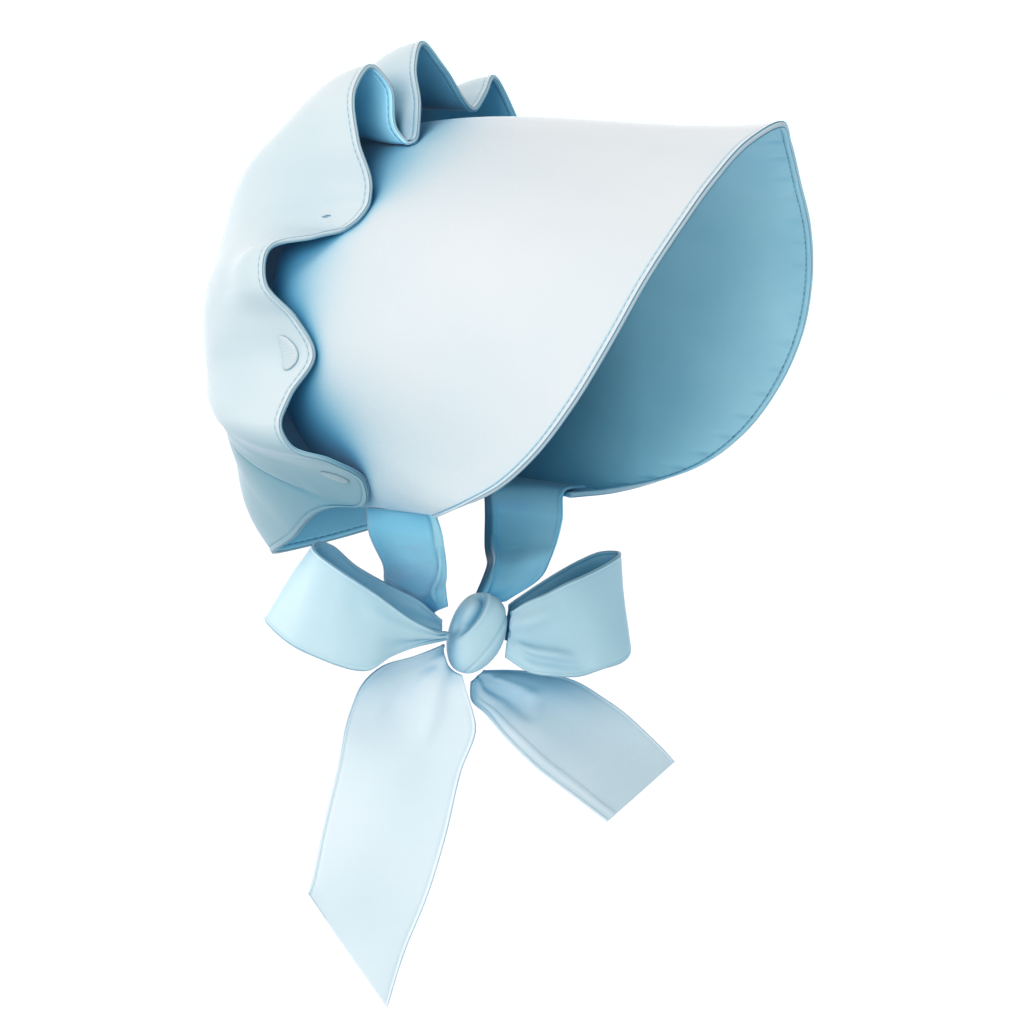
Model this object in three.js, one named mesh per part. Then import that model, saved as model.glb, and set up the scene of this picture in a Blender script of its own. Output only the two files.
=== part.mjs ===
import * as THREE from 'three';

// Bonnet with a stiffened poke brim, a loose crown whose front edge is a deep ruffle, and ribbon ties in a bow.
// Millimetres, +Z up, the brim opens to -Y, +X is the wearer's left. In the tables f is the distance forward (minus y).

// cloth thicknesses and the gap kept between pieces
const BRIM_THICK = 2.2;
const CROWN_THICK = 1.5;
const RIBBON_THICK = 1.2;
const GAP = 0.4;
// further room where cloth lies over or under curved cloth: crown over brim, pad over crown,
// ribbon beside the knot and at its seat on it, strap in the brim
const CROWN_ROOM = 0.5;
const PAD_ROOM = 0.3;
const KNOT_ROOM = 1.1;
const KNOT_SEAT = 0.2;
const STRAP_ROOM = 1.2;

// the brim's front edge on one side, from the middle of the top to the lower corner
const FRONT_EDGE = [
  { x: 0, f: 166, z: -9 }, { x: 23, f: 160, z: -18 }, { x: 47, f: 154, z: -36 }, { x: 70, f: 149, z: -57 },
  { x: 90, f: 141, z: -82 }, { x: 103, f: 130, z: -110 }, { x: 109, f: 114, z: -138 }, { x: 110, f: 94, z: -162 },
  { x: 108, f: 76, z: -176 }, { x: 103, f: 54, z: -186 }, { x: 90, f: 32, z: -192 }, { x: 67, f: 15, z: -194 },
];
// the brim's back edge on one side, under the crown
const BACK_EDGE = [
  { x: 0, f: -57, z: -9 }, { x: 28, f: -57, z: -14 }, { x: 54, f: -58, z: -29 }, { x: 77, f: -59, z: -51 },
  { x: 91, f: -60, z: -76 }, { x: 97, f: -60, z: -102 }, { x: 96, f: -58, z: -127 }, { x: 88, f: -53, z: -152 },
  { x: 75, f: -43, z: -175 }, { x: 61, f: -34, z: -193 },
];
// how the brim's side lines leave the back edge and reach the front edge: mm outward and mm up per mm forward
const BRIM_SLOPES = [
  { side: 0.00, outBack: 0.00, upBack: 0.23, outFront: 0.00, upFront: 0.08 },
  { side: 0.30, outBack: 0.06, upBack: 0.16, outFront: 0.12, upFront: -0.10 },
  { side: 0.60, outBack: 0.10, upBack: 0.02, outFront: 0.16, upFront: -0.14 },
  { side: 0.85, outBack: 0.04, upBack: -0.02, outFront: 0.35, upFront: -0.12 },
  { side: 1.00, outBack: 0.00, upBack: -0.02, outFront: 0.20, upFront: -0.02 },
];
// share of a side over which the outward lean grows from none at the middle of the top
const TOP_BLEND = 0.15;
const BRIM_STEPS_AROUND = 48;
const BRIM_STEPS_DEEP = 9;

// the crown's free edge on one side: the nape hem, then the ruffle up to the third valley
// hold: share of the edge's own line that the cloth behind it keeps; back and up: how the cloth leaves the edge;
// reach: how far behind the edge the fold has faded out
const SIDE_EDGE = [
  { at: 'nape_middle', x: 0, f: -122, z: -225, hold: 1.0, back: 1.00, up: 100, reach: 72 },
  { at: 'nape_side', x: 42, f: -84, z: -212, hold: 1.0, back: 1.02, up: 110, reach: 72 },
  { at: 'nape_corner', x: 66, f: -47, z: -194, hold: 1.0, back: 1.14, up: 80, reach: 72 },
  { at: 'ruffle_end', x: 69, f: -24, z: -191, hold: 0.6, back: 1.20, up: 45, reach: 72 },
  { at: 'valley_1', x: 83, f: -15, z: -178, hold: 0.2, back: 1.04, up: 20, reach: 72 },
  { at: 'rise_1', x: 100, f: -24, z: -168, hold: 0, back: 0.93, up: 0, reach: 100 },
  { at: 'shoulder_1', x: 111, f: -39, z: -161, hold: 0, back: 0.87, up: 0, reach: 115 },
  { at: 'crest_1', x: 113, f: -43, z: -152, hold: 0, back: 0.85, up: 0, reach: 115 },
  { at: 'fall_1', x: 108, f: -41, z: -138, hold: 0, back: 0.86, up: 0, reach: 100 },
  { at: 'valley_2', x: 103, f: -30, z: -117, hold: 0, back: 0.88, up: 0, reach: 72 },
  { at: 'rise_2', x: 106, f: -38, z: -101, hold: 0, back: 0.88, up: 0, reach: 60 },
  { at: 'crest_2', x: 112, f: -52, z: -83, hold: 0, back: 0.88, up: 0, reach: 52 },
  { at: 'fall_2', x: 108, f: -53, z: -68, hold: 0, back: 0.90, up: 0, reach: 56 },
  { at: 'slope_2', x: 95, f: -33, z: -61, hold: 0, back: 0.95, up: 0, reach: 64 },
  { at: 'valley_3', x: 82, f: -16, z: -54, hold: 0, back: 1.02, up: 0, reach: 72 },
];
// the ruffle over the top, from the wearer's right to the left
const TOP_EDGE = [
  { at: 'rise_3', x: -79, f: -13, z: -39 }, { at: 'slope_3', x: -78, f: -21, z: -15 },
  { at: 'shoulder_3', x: -71, f: -27, z: 10 }, { at: 'crest_3', x: -57, f: -26, z: 21 },
  { at: 'fall_3', x: -49, f: -21, z: 12 }, { at: 'foot_3', x: -47, f: -18, z: -10 },
  { at: 'valley_4', x: -45, f: -11, z: -17 }, { at: 'rise_4', x: -38, f: -11, z: 1 },
  { at: 'shoulder_4', x: -29, f: -19, z: 22 }, { at: 'crest_4', x: -14, f: -24, z: 35 },
  { at: 'fall_4', x: 4, f: -22, z: 23 }, { at: 'valley_5', x: 28, f: -19, z: 4 },
  { at: 'rise_5', x: 41, f: -20, z: 13 }, { at: 'crest_5', x: 54, f: -23, z: 22 },
  { at: 'fall_5', x: 70, f: -21, z: 6 }, { at: 'slope_5', x: 79, f: -14, z: -30 },
].map((row) => ({ ...row, hold: 0, back: 1.05, up: 0, reach: 72 }));
// the middle of the crown's back, where the cloth's lines meet
const POLE = { x: 0, f: -138, z: -112 };
// how full the back is, the least push backward (mm), and the width over which the edge is smoothed to its mean line
const CROWN_ROUND = 1.85;
const NAPE_BULGE = 90;
const FOLD_WIDTH = 36;
const CROWN_STEPS_AROUND = 144;
const CROWN_RINGS = 10;
const RING_CROWDING = 1.25;
const EDGE_SAMPLES = 1600;

// oval pads that hold the lower valleys of the ruffle to the brim: the valley, how far behind the edge the middle lies,
// half length, half width, and the turn of the length from straight back
const PADS = [
  { name: 'pad_1_right', edge: 4, behind: 17, long: 6.5, wide: 3.6, turn: 25 * Math.PI / 180 },
  { name: 'pad_2_right', edge: 9, behind: 14, long: 8.5, wide: 5.0, turn: 80 * Math.PI / 180 },
  { name: 'pad_2_left', edge: 35, behind: 14, long: 8.5, wide: 5.0, turn: -80 * Math.PI / 180 },
  { name: 'pad_1_left', edge: 40, behind: 17, long: 6.5, wide: 3.6, turn: -25 * Math.PI / 180 },
];
const PAD_RISE = 2.0;
const PAD_RIM = 0.7;
const PAD_STEPS = 16;
const PAD_RINGS = 3;

// the bow hangs under the chin, turned between the front and the wearer's right
// in its tables a is across, u is up and o is out towards the viewer of the bow, from the middle of the knot
const BOW_TURN = -35 * Math.PI / 180;
const KNOT_AT = { x: 0, f: 3, z: -263 };
const KNOT = { a: -5, u: 3, o: 0, half: 14.5, tall: 21.5, deep: 12, tilt: 20 * Math.PI / 180, square: 2.4 };
const KNOT_STEPS_AROUND = 26;
const KNOT_STEPS_UP = 14;

// rows along each ribbon: its two edges, edge 0 above or to the wearer's right, edge 1 below or to the left
const LOOP_RIGHT = [
  { at: 'front_knot', a0: -24, u0: 6, o0: 8, a1: -24, u1: 2, o1: 8 },
  { at: 'front_1', a0: -34, u0: 8, o0: 12, a1: -41, u1: 0, o1: 10 },
  { at: 'front_2', a0: -47, u0: 14, o0: 15, a1: -57, u1: -4, o1: 14 },
  { at: 'front_3', a0: -67, u0: 28, o0: 18, a1: -72, u1: -10, o1: 18 },
  { at: 'front_4', a0: -86, u0: 41, o0: 16, a1: -96, u1: -3, o1: 17 },
  { at: 'front_5', a0: -95, u0: 49, o0: 10, a1: -112, u1: 6, o1: 12 },
  { at: 'turn', a0: -94, u0: 52, o0: 2, a1: -119, u1: 15, o1: 3 },
  { at: 'back_5', a0: -89, u0: 53, o0: -5, a1: -114, u1: 16, o1: -5 },
  { at: 'back_4', a0: -79, u0: 50, o0: -9, a1: -96, u1: 9, o1: -10 },
  { at: 'back_3', a0: -65, u0: 39, o0: -11, a1: -71, u1: 2, o1: -12 },
  { at: 'back_2', a0: -50, u0: 30, o0: -10, a1: -52, u1: 1, o1: -12 },
  { at: 'back_1', a0: -32, u0: 20, o0: -8, a1: -35, u1: 1, o1: -9 },
  { at: 'back_knot', a0: -21, u0: 10, o0: -6, a1: -21, u1: 2, o1: -7 },
];
const LOOP_LEFT = [
  { at: 'front_knot', a0: 11, u0: 14, o0: 6, a1: 8, u1: -9, o1: 6 },
  { at: 'front_1', a0: 18, u0: 19, o0: 10, a1: 20, u1: -17, o1: 10 },
  { at: 'front_2', a0: 27, u0: 23, o0: 13, a1: 31, u1: -19, o1: 13 },
  { at: 'front_3', a0: 37, u0: 28, o0: 15, a1: 45, u1: -20, o1: 14 },
  { at: 'front_4', a0: 49, u0: 32, o0: 14, a1: 60, u1: -17, o1: 13 },
  { at: 'front_5', a0: 62, u0: 36, o0: 9, a1: 73, u1: -15, o1: 8 },
  { at: 'turn', a0: 74, u0: 40, o0: 1, a1: 81, u1: -11, o1: 1 },
  { at: 'back_5', a0: 77, u0: 41, o0: -6, a1: 84, u1: -8, o1: -6 },
  { at: 'back_4', a0: 71, u0: 41, o0: -10, a1: 74, u1: -6, o1: -10 },
  { at: 'back_3', a0: 59, u0: 37, o0: -12, a1: 59, u1: -9, o1: -12 },
  { at: 'back_2', a0: 45, u0: 31, o0: -11, a1: 43, u1: -9, o1: -11 },
  { at: 'back_1', a0: 29, u0: 23, o0: -9, a1: 28, u1: -7, o1: -9 },
  { at: 'back_knot', a0: 16, u0: 16, o0: -7, a1: 14, u1: -2, o1: -7 },
];
const TAIL_RIGHT = [
  { at: 'knot', a0: -20, u0: -1, o0: -3, a1: -15, u1: -9, o1: -3 },
  { at: 'row_1', a0: -38, u0: -7, o0: -4, a1: -13, u1: -18, o1: 0 },
  { at: 'row_2', a0: -55, u0: -11, o0: -4, a1: -11, u1: -26, o1: 2 },
  { at: 'row_3', a0: -66, u0: -19, o0: -3, a1: -8, u1: -35, o1: 2 },
  { at: 'row_4', a0: -73, u0: -32, o0: -2, a1: -6, u1: -44, o1: 2 },
  { at: 'row_5', a0: -81, u0: -61, o0: 0, a1: -14, u1: -66, o1: 2 },
  { at: 'row_6', a0: -90, u0: -95, o0: 0, a1: -23, u1: -101, o1: 0 },
  { at: 'row_7', a0: -95, u0: -115, o0: 0, a1: -33, u1: -133, o1: -2 },
  { at: 'row_8', a0: -96, u0: -118, o0: 0, a1: -43, u1: -157, o1: -4 },
  { at: 'end', a0: -97, u0: -121, o0: 0, a1: -52, u1: -185, o1: -6 },
];
const TAIL_LEFT = [
  { at: 'knot', a0: 4, u0: -17, o0: -10, a1: -4, u1: -22, o1: -8 },
  { at: 'row_1', a0: 20, u0: -18, o0: -12, a1: -5, u1: -31, o1: -6 },
  { at: 'row_2', a0: 39, u0: -21, o0: -13, a1: 2, u1: -39, o1: -4 },
  { at: 'row_3', a0: 57, u0: -26, o0: -14, a1: 8, u1: -50, o1: 6 },
  { at: 'row_4', a0: 74, u0: -37, o0: -13, a1: 19, u1: -62, o1: 12 },
  { at: 'row_5', a0: 88, u0: -47, o0: -11, a1: 31, u1: -72, o1: 16 },
  { at: 'row_6', a0: 102, u0: -60, o0: -9, a1: 44, u1: -83, o1: 19 },
  { at: 'end', a0: 112, u0: -71, o0: -6, a1: 58, u1: -94, o1: 22 },
];
// the straps below the rim: back edge, crease and front edge in x, f, z; above these rows they lie inside the brim
const STRAP_RIGHT = [
  { at: 'row_1', x0: -55, f0: -31, z0: -207, x1: -61, f1: 6, z1: -206, x2: -54, f2: 10, z2: -203 },
  { at: 'row_2', x0: -46, f0: -30, z0: -221, x1: -51, f1: 2, z1: -216, x2: -44, f2: 6, z2: -213 },
  { at: 'row_3', x0: -28, f0: -38, z0: -237, x1: -31, f1: -11, z1: -230, x2: -26, f2: -4, z2: -228 },
  { at: 'row_4', x0: -19, f0: -32, z0: -245, x1: -17, f1: -23, z1: -241, x2: -15, f2: -11, z2: -236 },
  { at: 'knot', x0: -10, f0: -24, z0: -254, x1: -9, f1: -21, z1: -250, x2: -8, f2: -14, z2: -246 },
];
const STRAP_LEFT = [
  { at: 'row_1', x0: 57, f0: -31, z0: -207, x1: 61, f1: -22, z1: -205, x2: 61, f2: 17, z2: -206 },
  { at: 'row_2', x0: 48, f0: -26, z0: -220, x1: 52, f1: -17, z1: -219, x2: 56, f2: 18, z2: -216 },
  { at: 'row_3', x0: 28, f0: -13, z0: -230, x1: 32, f1: -6, z1: -229, x2: 49, f2: 18, z2: -225 },
  { at: 'row_4', x0: 10, f0: -9, z0: -242, x1: 17, f1: -4, z1: -241, x2: 38, f2: 11, z2: -237 },
  { at: 'knot', x0: 4, f0: -11, z0: -250, x1: 10, f1: -7, z1: -248, x2: 22, f2: 2, z2: -246 },
];
// how far up the brim the strap's end lies, and where its edges lie between the brim's back and front, as shares
const STRAP_UP = 0.035;
const STRAP_BACK = 0.04;
const STRAP_FRONT = 0.96;
// where the crease lies across the strap
const CREASE_AT_RIGHT = 0.78;
const CREASE_AT_LEFT = 0.22;
const RIBBON_STEPS_ACROSS = 4;
const LOOP_STEPS = 26;
const TAIL_STEPS = 14;
const STRAP_STEPS = 12;

// colours read from the cloth
const BRIM_CLOTH = { color: 0xd3e7f0, roughness: 0.6, metalness: 0 };
const CROWN_CLOTH = { color: 0xbfe0ec, roughness: 0.62, metalness: 0 };
const RIBBON_CLOTH = { color: 0xb4daea, roughness: 0.58, metalness: 0 };

const clamp = (v, low, high) => Math.min(high, Math.max(low, v));
const point = (x, f, z) => new THREE.Vector3(x, -f, z);

// smooth curve through rows of numbers at the places xs
function spline(xs, rows) {
  const n = xs.length;
  const slopes = rows.map((row, i) => row.map((value, c) => {
    if (i === 0) return (rows[1][c] - value) / (xs[1] - xs[0]);
    if (i === n - 1) return (value - rows[n - 2][c]) / (xs[n - 1] - xs[n - 2]);
    const before = xs[i] - xs[i - 1];
    const after = xs[i + 1] - xs[i];
    const left = (value - rows[i - 1][c]) / before;
    const right = (rows[i + 1][c] - value) / after;
    return (left * after + right * before) / (before + after);
  }));
  return (x) => {
    let k = 0;
    while (k < n - 2 && x >= xs[k + 1]) k += 1;
    const h = xs[k + 1] - xs[k];
    const w = hermite((x - xs[k]) / h);
    return rows[k].map((value, c) => w[0] * value + w[1] * h * slopes[k][c] + w[2] * rows[k + 1][c] + w[3] * h * slopes[k + 1][c]);
  };
}

function hermite(t) {
  const t2 = t * t;
  const t3 = t2 * t;
  return [2 * t3 - 3 * t2 + 1, t3 - 2 * t2 + t, -2 * t3 + 3 * t2, t3 - t2];
}

function distance(p, q) {
  return Math.hypot(...p.map((value, c) => value - q[c]));
}

// places of the rows along their own length, from 0 to 1
function lengths(rows) {
  const xs = [0];
  for (let i = 1; i < rows.length; i += 1) xs.push(xs[i - 1] + distance(rows[i], rows[i - 1]));
  return xs;
}

// curve through a table of one side and its mirror image, from -1 at the right end over 0 in the middle to 1
function edgeCurve(table) {
  const left = table.map((row) => [row.x, row.f, row.z]);
  const right = left.slice(1).reverse().map(([x, f, z]) => [-x, f, z]);
  const rows = [...right, ...left];
  const xs = lengths(rows);
  const total = xs[xs.length - 1];
  return spline(xs.map((x) => 2 * x / total - 1), rows);
}

const frontEdge = edgeCurve(FRONT_EDGE);
const backEdge = edgeCurve(BACK_EDGE);
const brimSlopes = spline(BRIM_SLOPES.map((r) => r.side), BRIM_SLOPES.map((r) => [r.outBack, r.upBack, r.outFront, r.upFront]));

// middle of the brim's cloth: side from -1 (lower right corner) over the top to 1, depth from the back edge to the front
function brimMiddle(side, depth) {
  const back = backEdge(side);
  const front = frontEdge(side);
  const [outBack, upBack, outFront, upFront] = brimSlopes(Math.abs(side));
  const run = front[1] - back[1];
  const w = hermite(depth);
  const outward = run * clamp(side / TOP_BLEND, -1, 1);
  const startRun = [outBack * outward, run, upBack * run];
  const endRun = [outFront * outward, run, upFront * run];
  const [x, f, z] = back.map((value, c) => w[0] * value + w[1] * startRun[c] + w[2] * front[c] + w[3] * endRun[c]);
  return point(x, f, z);
}

// outward direction of the brim's cloth
function brimOutward(side, depth) {
  const step = 0.002;
  const along = brimMiddle(clamp(side + step, -1, 1), depth).sub(brimMiddle(clamp(side - step, -1, 1), depth));
  const deep = brimMiddle(side, depth + step).sub(brimMiddle(side, depth - step));
  return deep.cross(along).normalize();
}

// closed shell of even thickness around a grid of middle points; grid[i][j], i may run around, the last j may be a pole
function sheetSolid(grid, thickness, { around = false, pole = null } = {}) {
  const ni = grid.length;
  const nj = grid[0].length;
  const at = (i, j) => grid[around ? (i + ni) % ni : clamp(i, 0, ni - 1)][clamp(j, 0, nj - 1)];
  const positions = [];
  const outer = [];
  const inner = [];
  const push = (list, p) => { list.push(positions.length / 3); positions.push(p.x, p.y, p.z); };
  for (let i = 0; i < ni; i += 1) {
    for (let j = 0; j < nj; j += 1) {
      const alongI = at(i + 1, j).clone().sub(at(i - 1, j));
      const next = pole && j === nj - 1 ? pole : at(i, j + 1);
      const alongJ = next.clone().sub(at(i, j - 1));
      const normal = alongI.cross(alongJ).normalize().multiplyScalar(thickness / 2);
      push(outer, grid[i][j].clone().add(normal));
      push(inner, grid[i][j].clone().sub(normal));
    }
  }
  const index = [];
  const quad = (a, b, c, d) => index.push(a, b, c, a, c, d);
  const id = (i, j) => ((i + ni) % ni) * nj + j;
  const iCount = around ? ni : ni - 1;
  for (let i = 0; i < iCount; i += 1) {
    for (let j = 0; j < nj - 1; j += 1) {
      quad(outer[id(i, j)], outer[id(i + 1, j)], outer[id(i + 1, j + 1)], outer[id(i, j + 1)]);
      quad(inner[id(i, j)], inner[id(i, j + 1)], inner[id(i + 1, j + 1)], inner[id(i + 1, j)]);
    }
    quad(outer[id(i, 0)], inner[id(i, 0)], inner[id(i + 1, 0)], outer[id(i + 1, 0)]);
    if (!pole) {
      const j = nj - 1;
      quad(outer[id(i, j)], outer[id(i + 1, j)], inner[id(i + 1, j)], inner[id(i, j)]);
    }
  }
  if (!around) {
    for (let j = 0; j < nj - 1; j += 1) {
      quad(outer[id(0, j)], outer[id(0, j + 1)], inner[id(0, j + 1)], inner[id(0, j)]);
      const i = ni - 1;
      quad(outer[id(i, j)], inner[id(i, j)], inner[id(i, j + 1)], outer[id(i, j + 1)]);
    }
  }
  if (pole) {
    const a = grid[0][nj - 1];
    const b = grid[Math.floor(ni / 3)][nj - 1];
    const c = grid[Math.floor(2 * ni / 3)][nj - 1];
    const normal = b.clone().sub(a).cross(c.clone().sub(a)).normalize().multiplyScalar(thickness / 2);
    const poleOuter = positions.length / 3;
    positions.push(...pole.clone().add(normal).toArray(), ...pole.clone().sub(normal).toArray());
    for (let i = 0; i < ni; i += 1) {
      index.push(outer[id(i, nj - 1)], outer[id(i + 1, nj - 1)], poleOuter);
      index.push(inner[id(i + 1, nj - 1)], inner[id(i, nj - 1)], poleOuter + 1);
    }
  }
  const geometry = new THREE.BufferGeometry();
  geometry.setAttribute('position', new THREE.Float32BufferAttribute(positions, 3));
  geometry.setIndex(index);
  geometry.computeVertexNormals();
  return geometry;
}

function brimGeometry() {
  const grid = [];
  for (let i = 0; i <= BRIM_STEPS_AROUND; i += 1) {
    const side = -1 + 2 * i / BRIM_STEPS_AROUND;
    const line = [];
    for (let j = 0; j <= BRIM_STEPS_DEEP; j += 1) line.push(brimMiddle(side, 1 - j / BRIM_STEPS_DEEP));
    grid.push(line);
  }
  return sheetSolid(grid, BRIM_THICK);
}

// the crown's edge once around: rows at the nape, up the right side, over the top and down the left side
function edgeRows() {
  const right = SIDE_EDGE.map((row) => ({ ...row, x: -row.x }));
  const left = SIDE_EDGE.slice(1).reverse();
  return [...right, ...TOP_EDGE, ...left];
}

// where each row of the edge lies, counted in the even steps of the crown's edge
const edgePlaces = [];

// the edge at even steps, the same edge with its folds smoothed away, and how the cloth leaves it
function crownEdge(steps) {
  const rows = edgeRows().map((r) => [r.x, r.f, r.z, r.hold, r.back, r.up, r.reach]);
  const before = 3;
  const ring = [...rows.slice(-before), ...rows, ...rows.slice(0, before + 1)];
  const xs = lengths(ring.map((r) => r.slice(0, 3)));
  const line = spline(xs, ring.map((r) => r.slice(0, 3)));
  const traits = (x) => {
    let k = 0;
    while (k < xs.length - 2 && x >= xs[k + 1]) k += 1;
    const t = (x - xs[k]) / (xs[k + 1] - xs[k]);
    return [3, 4, 5, 6].map((c) => ring[k][c] + (ring[k + 1][c] - ring[k][c]) * t);
  };
  const start = xs[before];
  const span = xs[before + rows.length] - start;
  const dense = [];
  let length = 0;
  for (let k = 0; k <= EDGE_SAMPLES; k += 1) {
    const x = start + span * k / EDGE_SAMPLES;
    const p = line(x);
    if (k > 0) length += distance(p, dense[k - 1].p);
    dense.push({ p, x, length });
  }
  const edge = [];
  let k = 0;
  for (let i = 0; i < steps; i += 1) {
    const want = length * i / steps;
    while (dense[k + 1].length < want) k += 1;
    const t = (want - dense[k].length) / (dense[k + 1].length - dense[k].length);
    const p = dense[k].p.map((value, c) => value + (dense[k + 1].p[c] - value) * t);
    const [hold, back, up, reach] = traits(dense[k].x + (dense[k + 1].x - dense[k].x) * t);
    edge.push({ p, hold, back, up, reach });
  }
  const step = length / steps;
  const half = Math.floor(steps / 2);
  const weights = [];
  let total = 0;
  for (let i = -half; i < half; i += 1) {
    const w = Math.exp(-0.5 * (i * step / FOLD_WIDTH) ** 2);
    weights.push(w);
    total += w;
  }
  edge.forEach((e, i) => {
    const mean = [0, 0, 0];
    weights.forEach((w, m) => {
      const q = edge[(i + m - half + steps) % steps].p;
      for (let c = 0; c < 3; c += 1) mean[c] += q[c] * w / total;
    });
    e.smooth = mean.map((value, c) => value + (e.p[c] - value) * e.hold);
  });
  const nearly = 1e-9;
  rows.forEach((row, r) => {
    const after = dense.findIndex((d) => d.x >= xs[before + r] - nearly);
    edgePlaces.push(steps * dense[after].length / length);
  });
  return edge;
}

// sample points of the brim near its back, used to rest the crown on it
function brimSamples() {
  const samples = [];
  const aroundSteps = 120;
  const deepSteps = 18;
  const deepest = 0.45;
  for (let i = 0; i <= aroundSteps; i += 1) {
    for (let j = 0; j <= deepSteps; j += 1) {
      const side = -1 + 2 * i / aroundSteps;
      const depth = deepest * j / deepSteps;
      samples.push({ p: brimMiddle(side, depth), n: brimOutward(side, depth) });
    }
  }
  return samples;
}

// moves a point of the crown outward where it would lie in the brim
function restOnBrim(p, samples, clear) {
  const reach = 20;
  const spread = 14;
  let best = null;
  let least = reach * reach;
  samples.forEach((s) => {
    const d = s.p.distanceToSquared(p);
    if (d < least) { least = d; best = s; }
  });
  if (!best) return p;
  const offset = p.clone().sub(best.p);
  const height = offset.dot(best.n);
  const aside = offset.clone().addScaledVector(best.n, -height).length();
  if (aside < spread && height < clear) return p.clone().addScaledVector(best.n, clear - height);
  return p;
}

const CROWN_CLEAR = BRIM_THICK / 2 + CROWN_THICK / 2 + GAP + CROWN_ROOM;

function crownGrid() {
  const edge = crownEdge(CROWN_STEPS_AROUND);
  const samples = brimSamples();
  const pole = [POLE.x, POLE.f, POLE.z];
  return edge.map((e) => {
    const leave = [0, -Math.hypot(CROWN_ROUND * (e.smooth[1] - pole[1]) * e.back, NAPE_BULGE), e.up];
    const arrive = [-CROWN_ROUND * e.smooth[0], 0, CROWN_ROUND * (pole[2] - e.smooth[2])];
    const fold = e.p.map((value, c) => value - e.smooth[c]);
    const spoke = [];
    let run = 0;
    let last = e.smooth;
    for (let j = 0; j < CROWN_RINGS; j += 1) {
      const w = hermite((j / CROWN_RINGS) ** RING_CROWDING);
      const q = e.smooth.map((value, c) => w[0] * value + w[1] * leave[c] + w[2] * pole[c] + w[3] * arrive[c]);
      run += distance(q, last);
      last = q;
      const t = clamp(run / e.reach, 0, 1);
      const fade = (1 - t) ** 2 * (1 + 2 * t);
      const [x, f, z] = q.map((value, c) => value + fold[c] * fade);
      spoke.push(restOnBrim(point(x, f, z), samples, CROWN_CLEAR));
    }
    return spoke;
  });
}

const crownSpokes = crownGrid();

// middle of the crown's cloth and its outward direction, at a place along the edge (in steps) and a distance behind it
function crownSurface(place, behind) {
  const n = crownSpokes.length;
  const i = Math.floor(place);
  const t = place - i;
  const alongSpoke = (spoke, run) => {
    let j = 0;
    let left = run;
    while (j < spoke.length - 2 && left > spoke[j].distanceTo(spoke[j + 1])) {
      left -= spoke[j].distanceTo(spoke[j + 1]);
      j += 1;
    }
    return spoke[j].clone().lerp(spoke[j + 1], left / spoke[j].distanceTo(spoke[j + 1]));
  };
  const a = crownSpokes[(i + n) % n];
  const b = crownSpokes[(i + 1 + n) % n];
  const p = alongSpoke(a, behind).lerp(alongSpoke(b, behind), t);
  const along = alongSpoke(b, behind).sub(alongSpoke(a, behind));
  const back = alongSpoke(a, behind + 4).lerp(alongSpoke(b, behind + 4), t).sub(p);
  return { p, outward: along.clone().cross(back).normalize(), step: along.length() };
}

// low domed pad lying on the crown's cloth
function padGeometry(pad) {
  const middle = edgePlaces[pad.edge];
  const under = CROWN_THICK / 2 + GAP + PAD_ROOM;
  const step = crownSurface(middle, pad.behind).step;
  const place = (r, phi) => {
    const l = pad.long * r * Math.cos(phi);
    const w = pad.wide * r * Math.sin(phi);
    const back = l * Math.cos(pad.turn) - w * Math.sin(pad.turn);
    const along = l * Math.sin(pad.turn) + w * Math.cos(pad.turn);
    return crownSurface(middle + along / step, pad.behind + back);
  };
  const positions = [];
  const index = [];
  const push = (r, phi, height) => {
    const s = place(r, phi);
    positions.push(...s.p.addScaledVector(s.outward, under + height).toArray());
  };
  push(0, 0, 0);
  push(0, 0, PAD_RISE);
  for (let k = 0; k < PAD_STEPS; k += 1) {
    const phi = 2 * Math.PI * k / PAD_STEPS;
    for (let q = 1; q <= PAD_RINGS; q += 1) push(q / PAD_RINGS, phi, 0);
    for (let q = 1; q <= PAD_RINGS; q += 1) {
      const r = q / PAD_RINGS;
      push(r * 0.999, phi, PAD_RIM + (PAD_RISE - PAD_RIM) * Math.sqrt(Math.max(0, 1 - r ** 2)));
    }
  }
  const low = (k, q) => 2 + (k % PAD_STEPS) * 2 * PAD_RINGS + q - 1;
  const high = (k, q) => low(k, q) + PAD_RINGS;
  for (let k = 0; k < PAD_STEPS; k += 1) {
    index.push(0, low(k, 1), low(k + 1, 1), 1, high(k + 1, 1), high(k, 1));
    for (let q = 1; q < PAD_RINGS; q += 1) {
      index.push(low(k, q), low(k + 1, q + 1), low(k + 1, q), low(k, q), low(k, q + 1), low(k + 1, q + 1));
      index.push(high(k, q), high(k + 1, q + 1), high(k, q + 1), high(k, q), high(k + 1, q), high(k + 1, q + 1));
    }
    const e = PAD_RINGS;
    index.push(low(k, e), high(k + 1, e), low(k + 1, e), low(k, e), high(k, e), high(k + 1, e));
  }
  const geometry = new THREE.BufferGeometry();
  geometry.setAttribute('position', new THREE.Float32BufferAttribute(positions, 3));
  geometry.setIndex(index);
  geometry.computeVertexNormals();
  return geometry;
}

const bowAcross = new THREE.Vector3(Math.cos(BOW_TURN), Math.sin(BOW_TURN), 0);
const bowOut = new THREE.Vector3(Math.sin(BOW_TURN), -Math.cos(BOW_TURN), 0);
const bowUp = new THREE.Vector3(0, 0, 1);
const knotMiddle = point(KNOT_AT.x, KNOT_AT.f, KNOT_AT.z);

function bowPoint(a, u, o) {
  return knotMiddle.clone().addScaledVector(bowAcross, a).addScaledVector(bowUp, u).addScaledVector(bowOut, o);
}

// a point in the knot's own directions: across it, along it, out of it
function knotLocal(p) {
  const d = p.clone().sub(bowPoint(KNOT.a, KNOT.u, KNOT.o));
  const a = d.dot(bowAcross);
  const u = d.dot(bowUp);
  const c = Math.cos(KNOT.tilt);
  const s = Math.sin(KNOT.tilt);
  return [a * c - u * s, a * s + u * c, d.dot(bowOut)];
}

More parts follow.
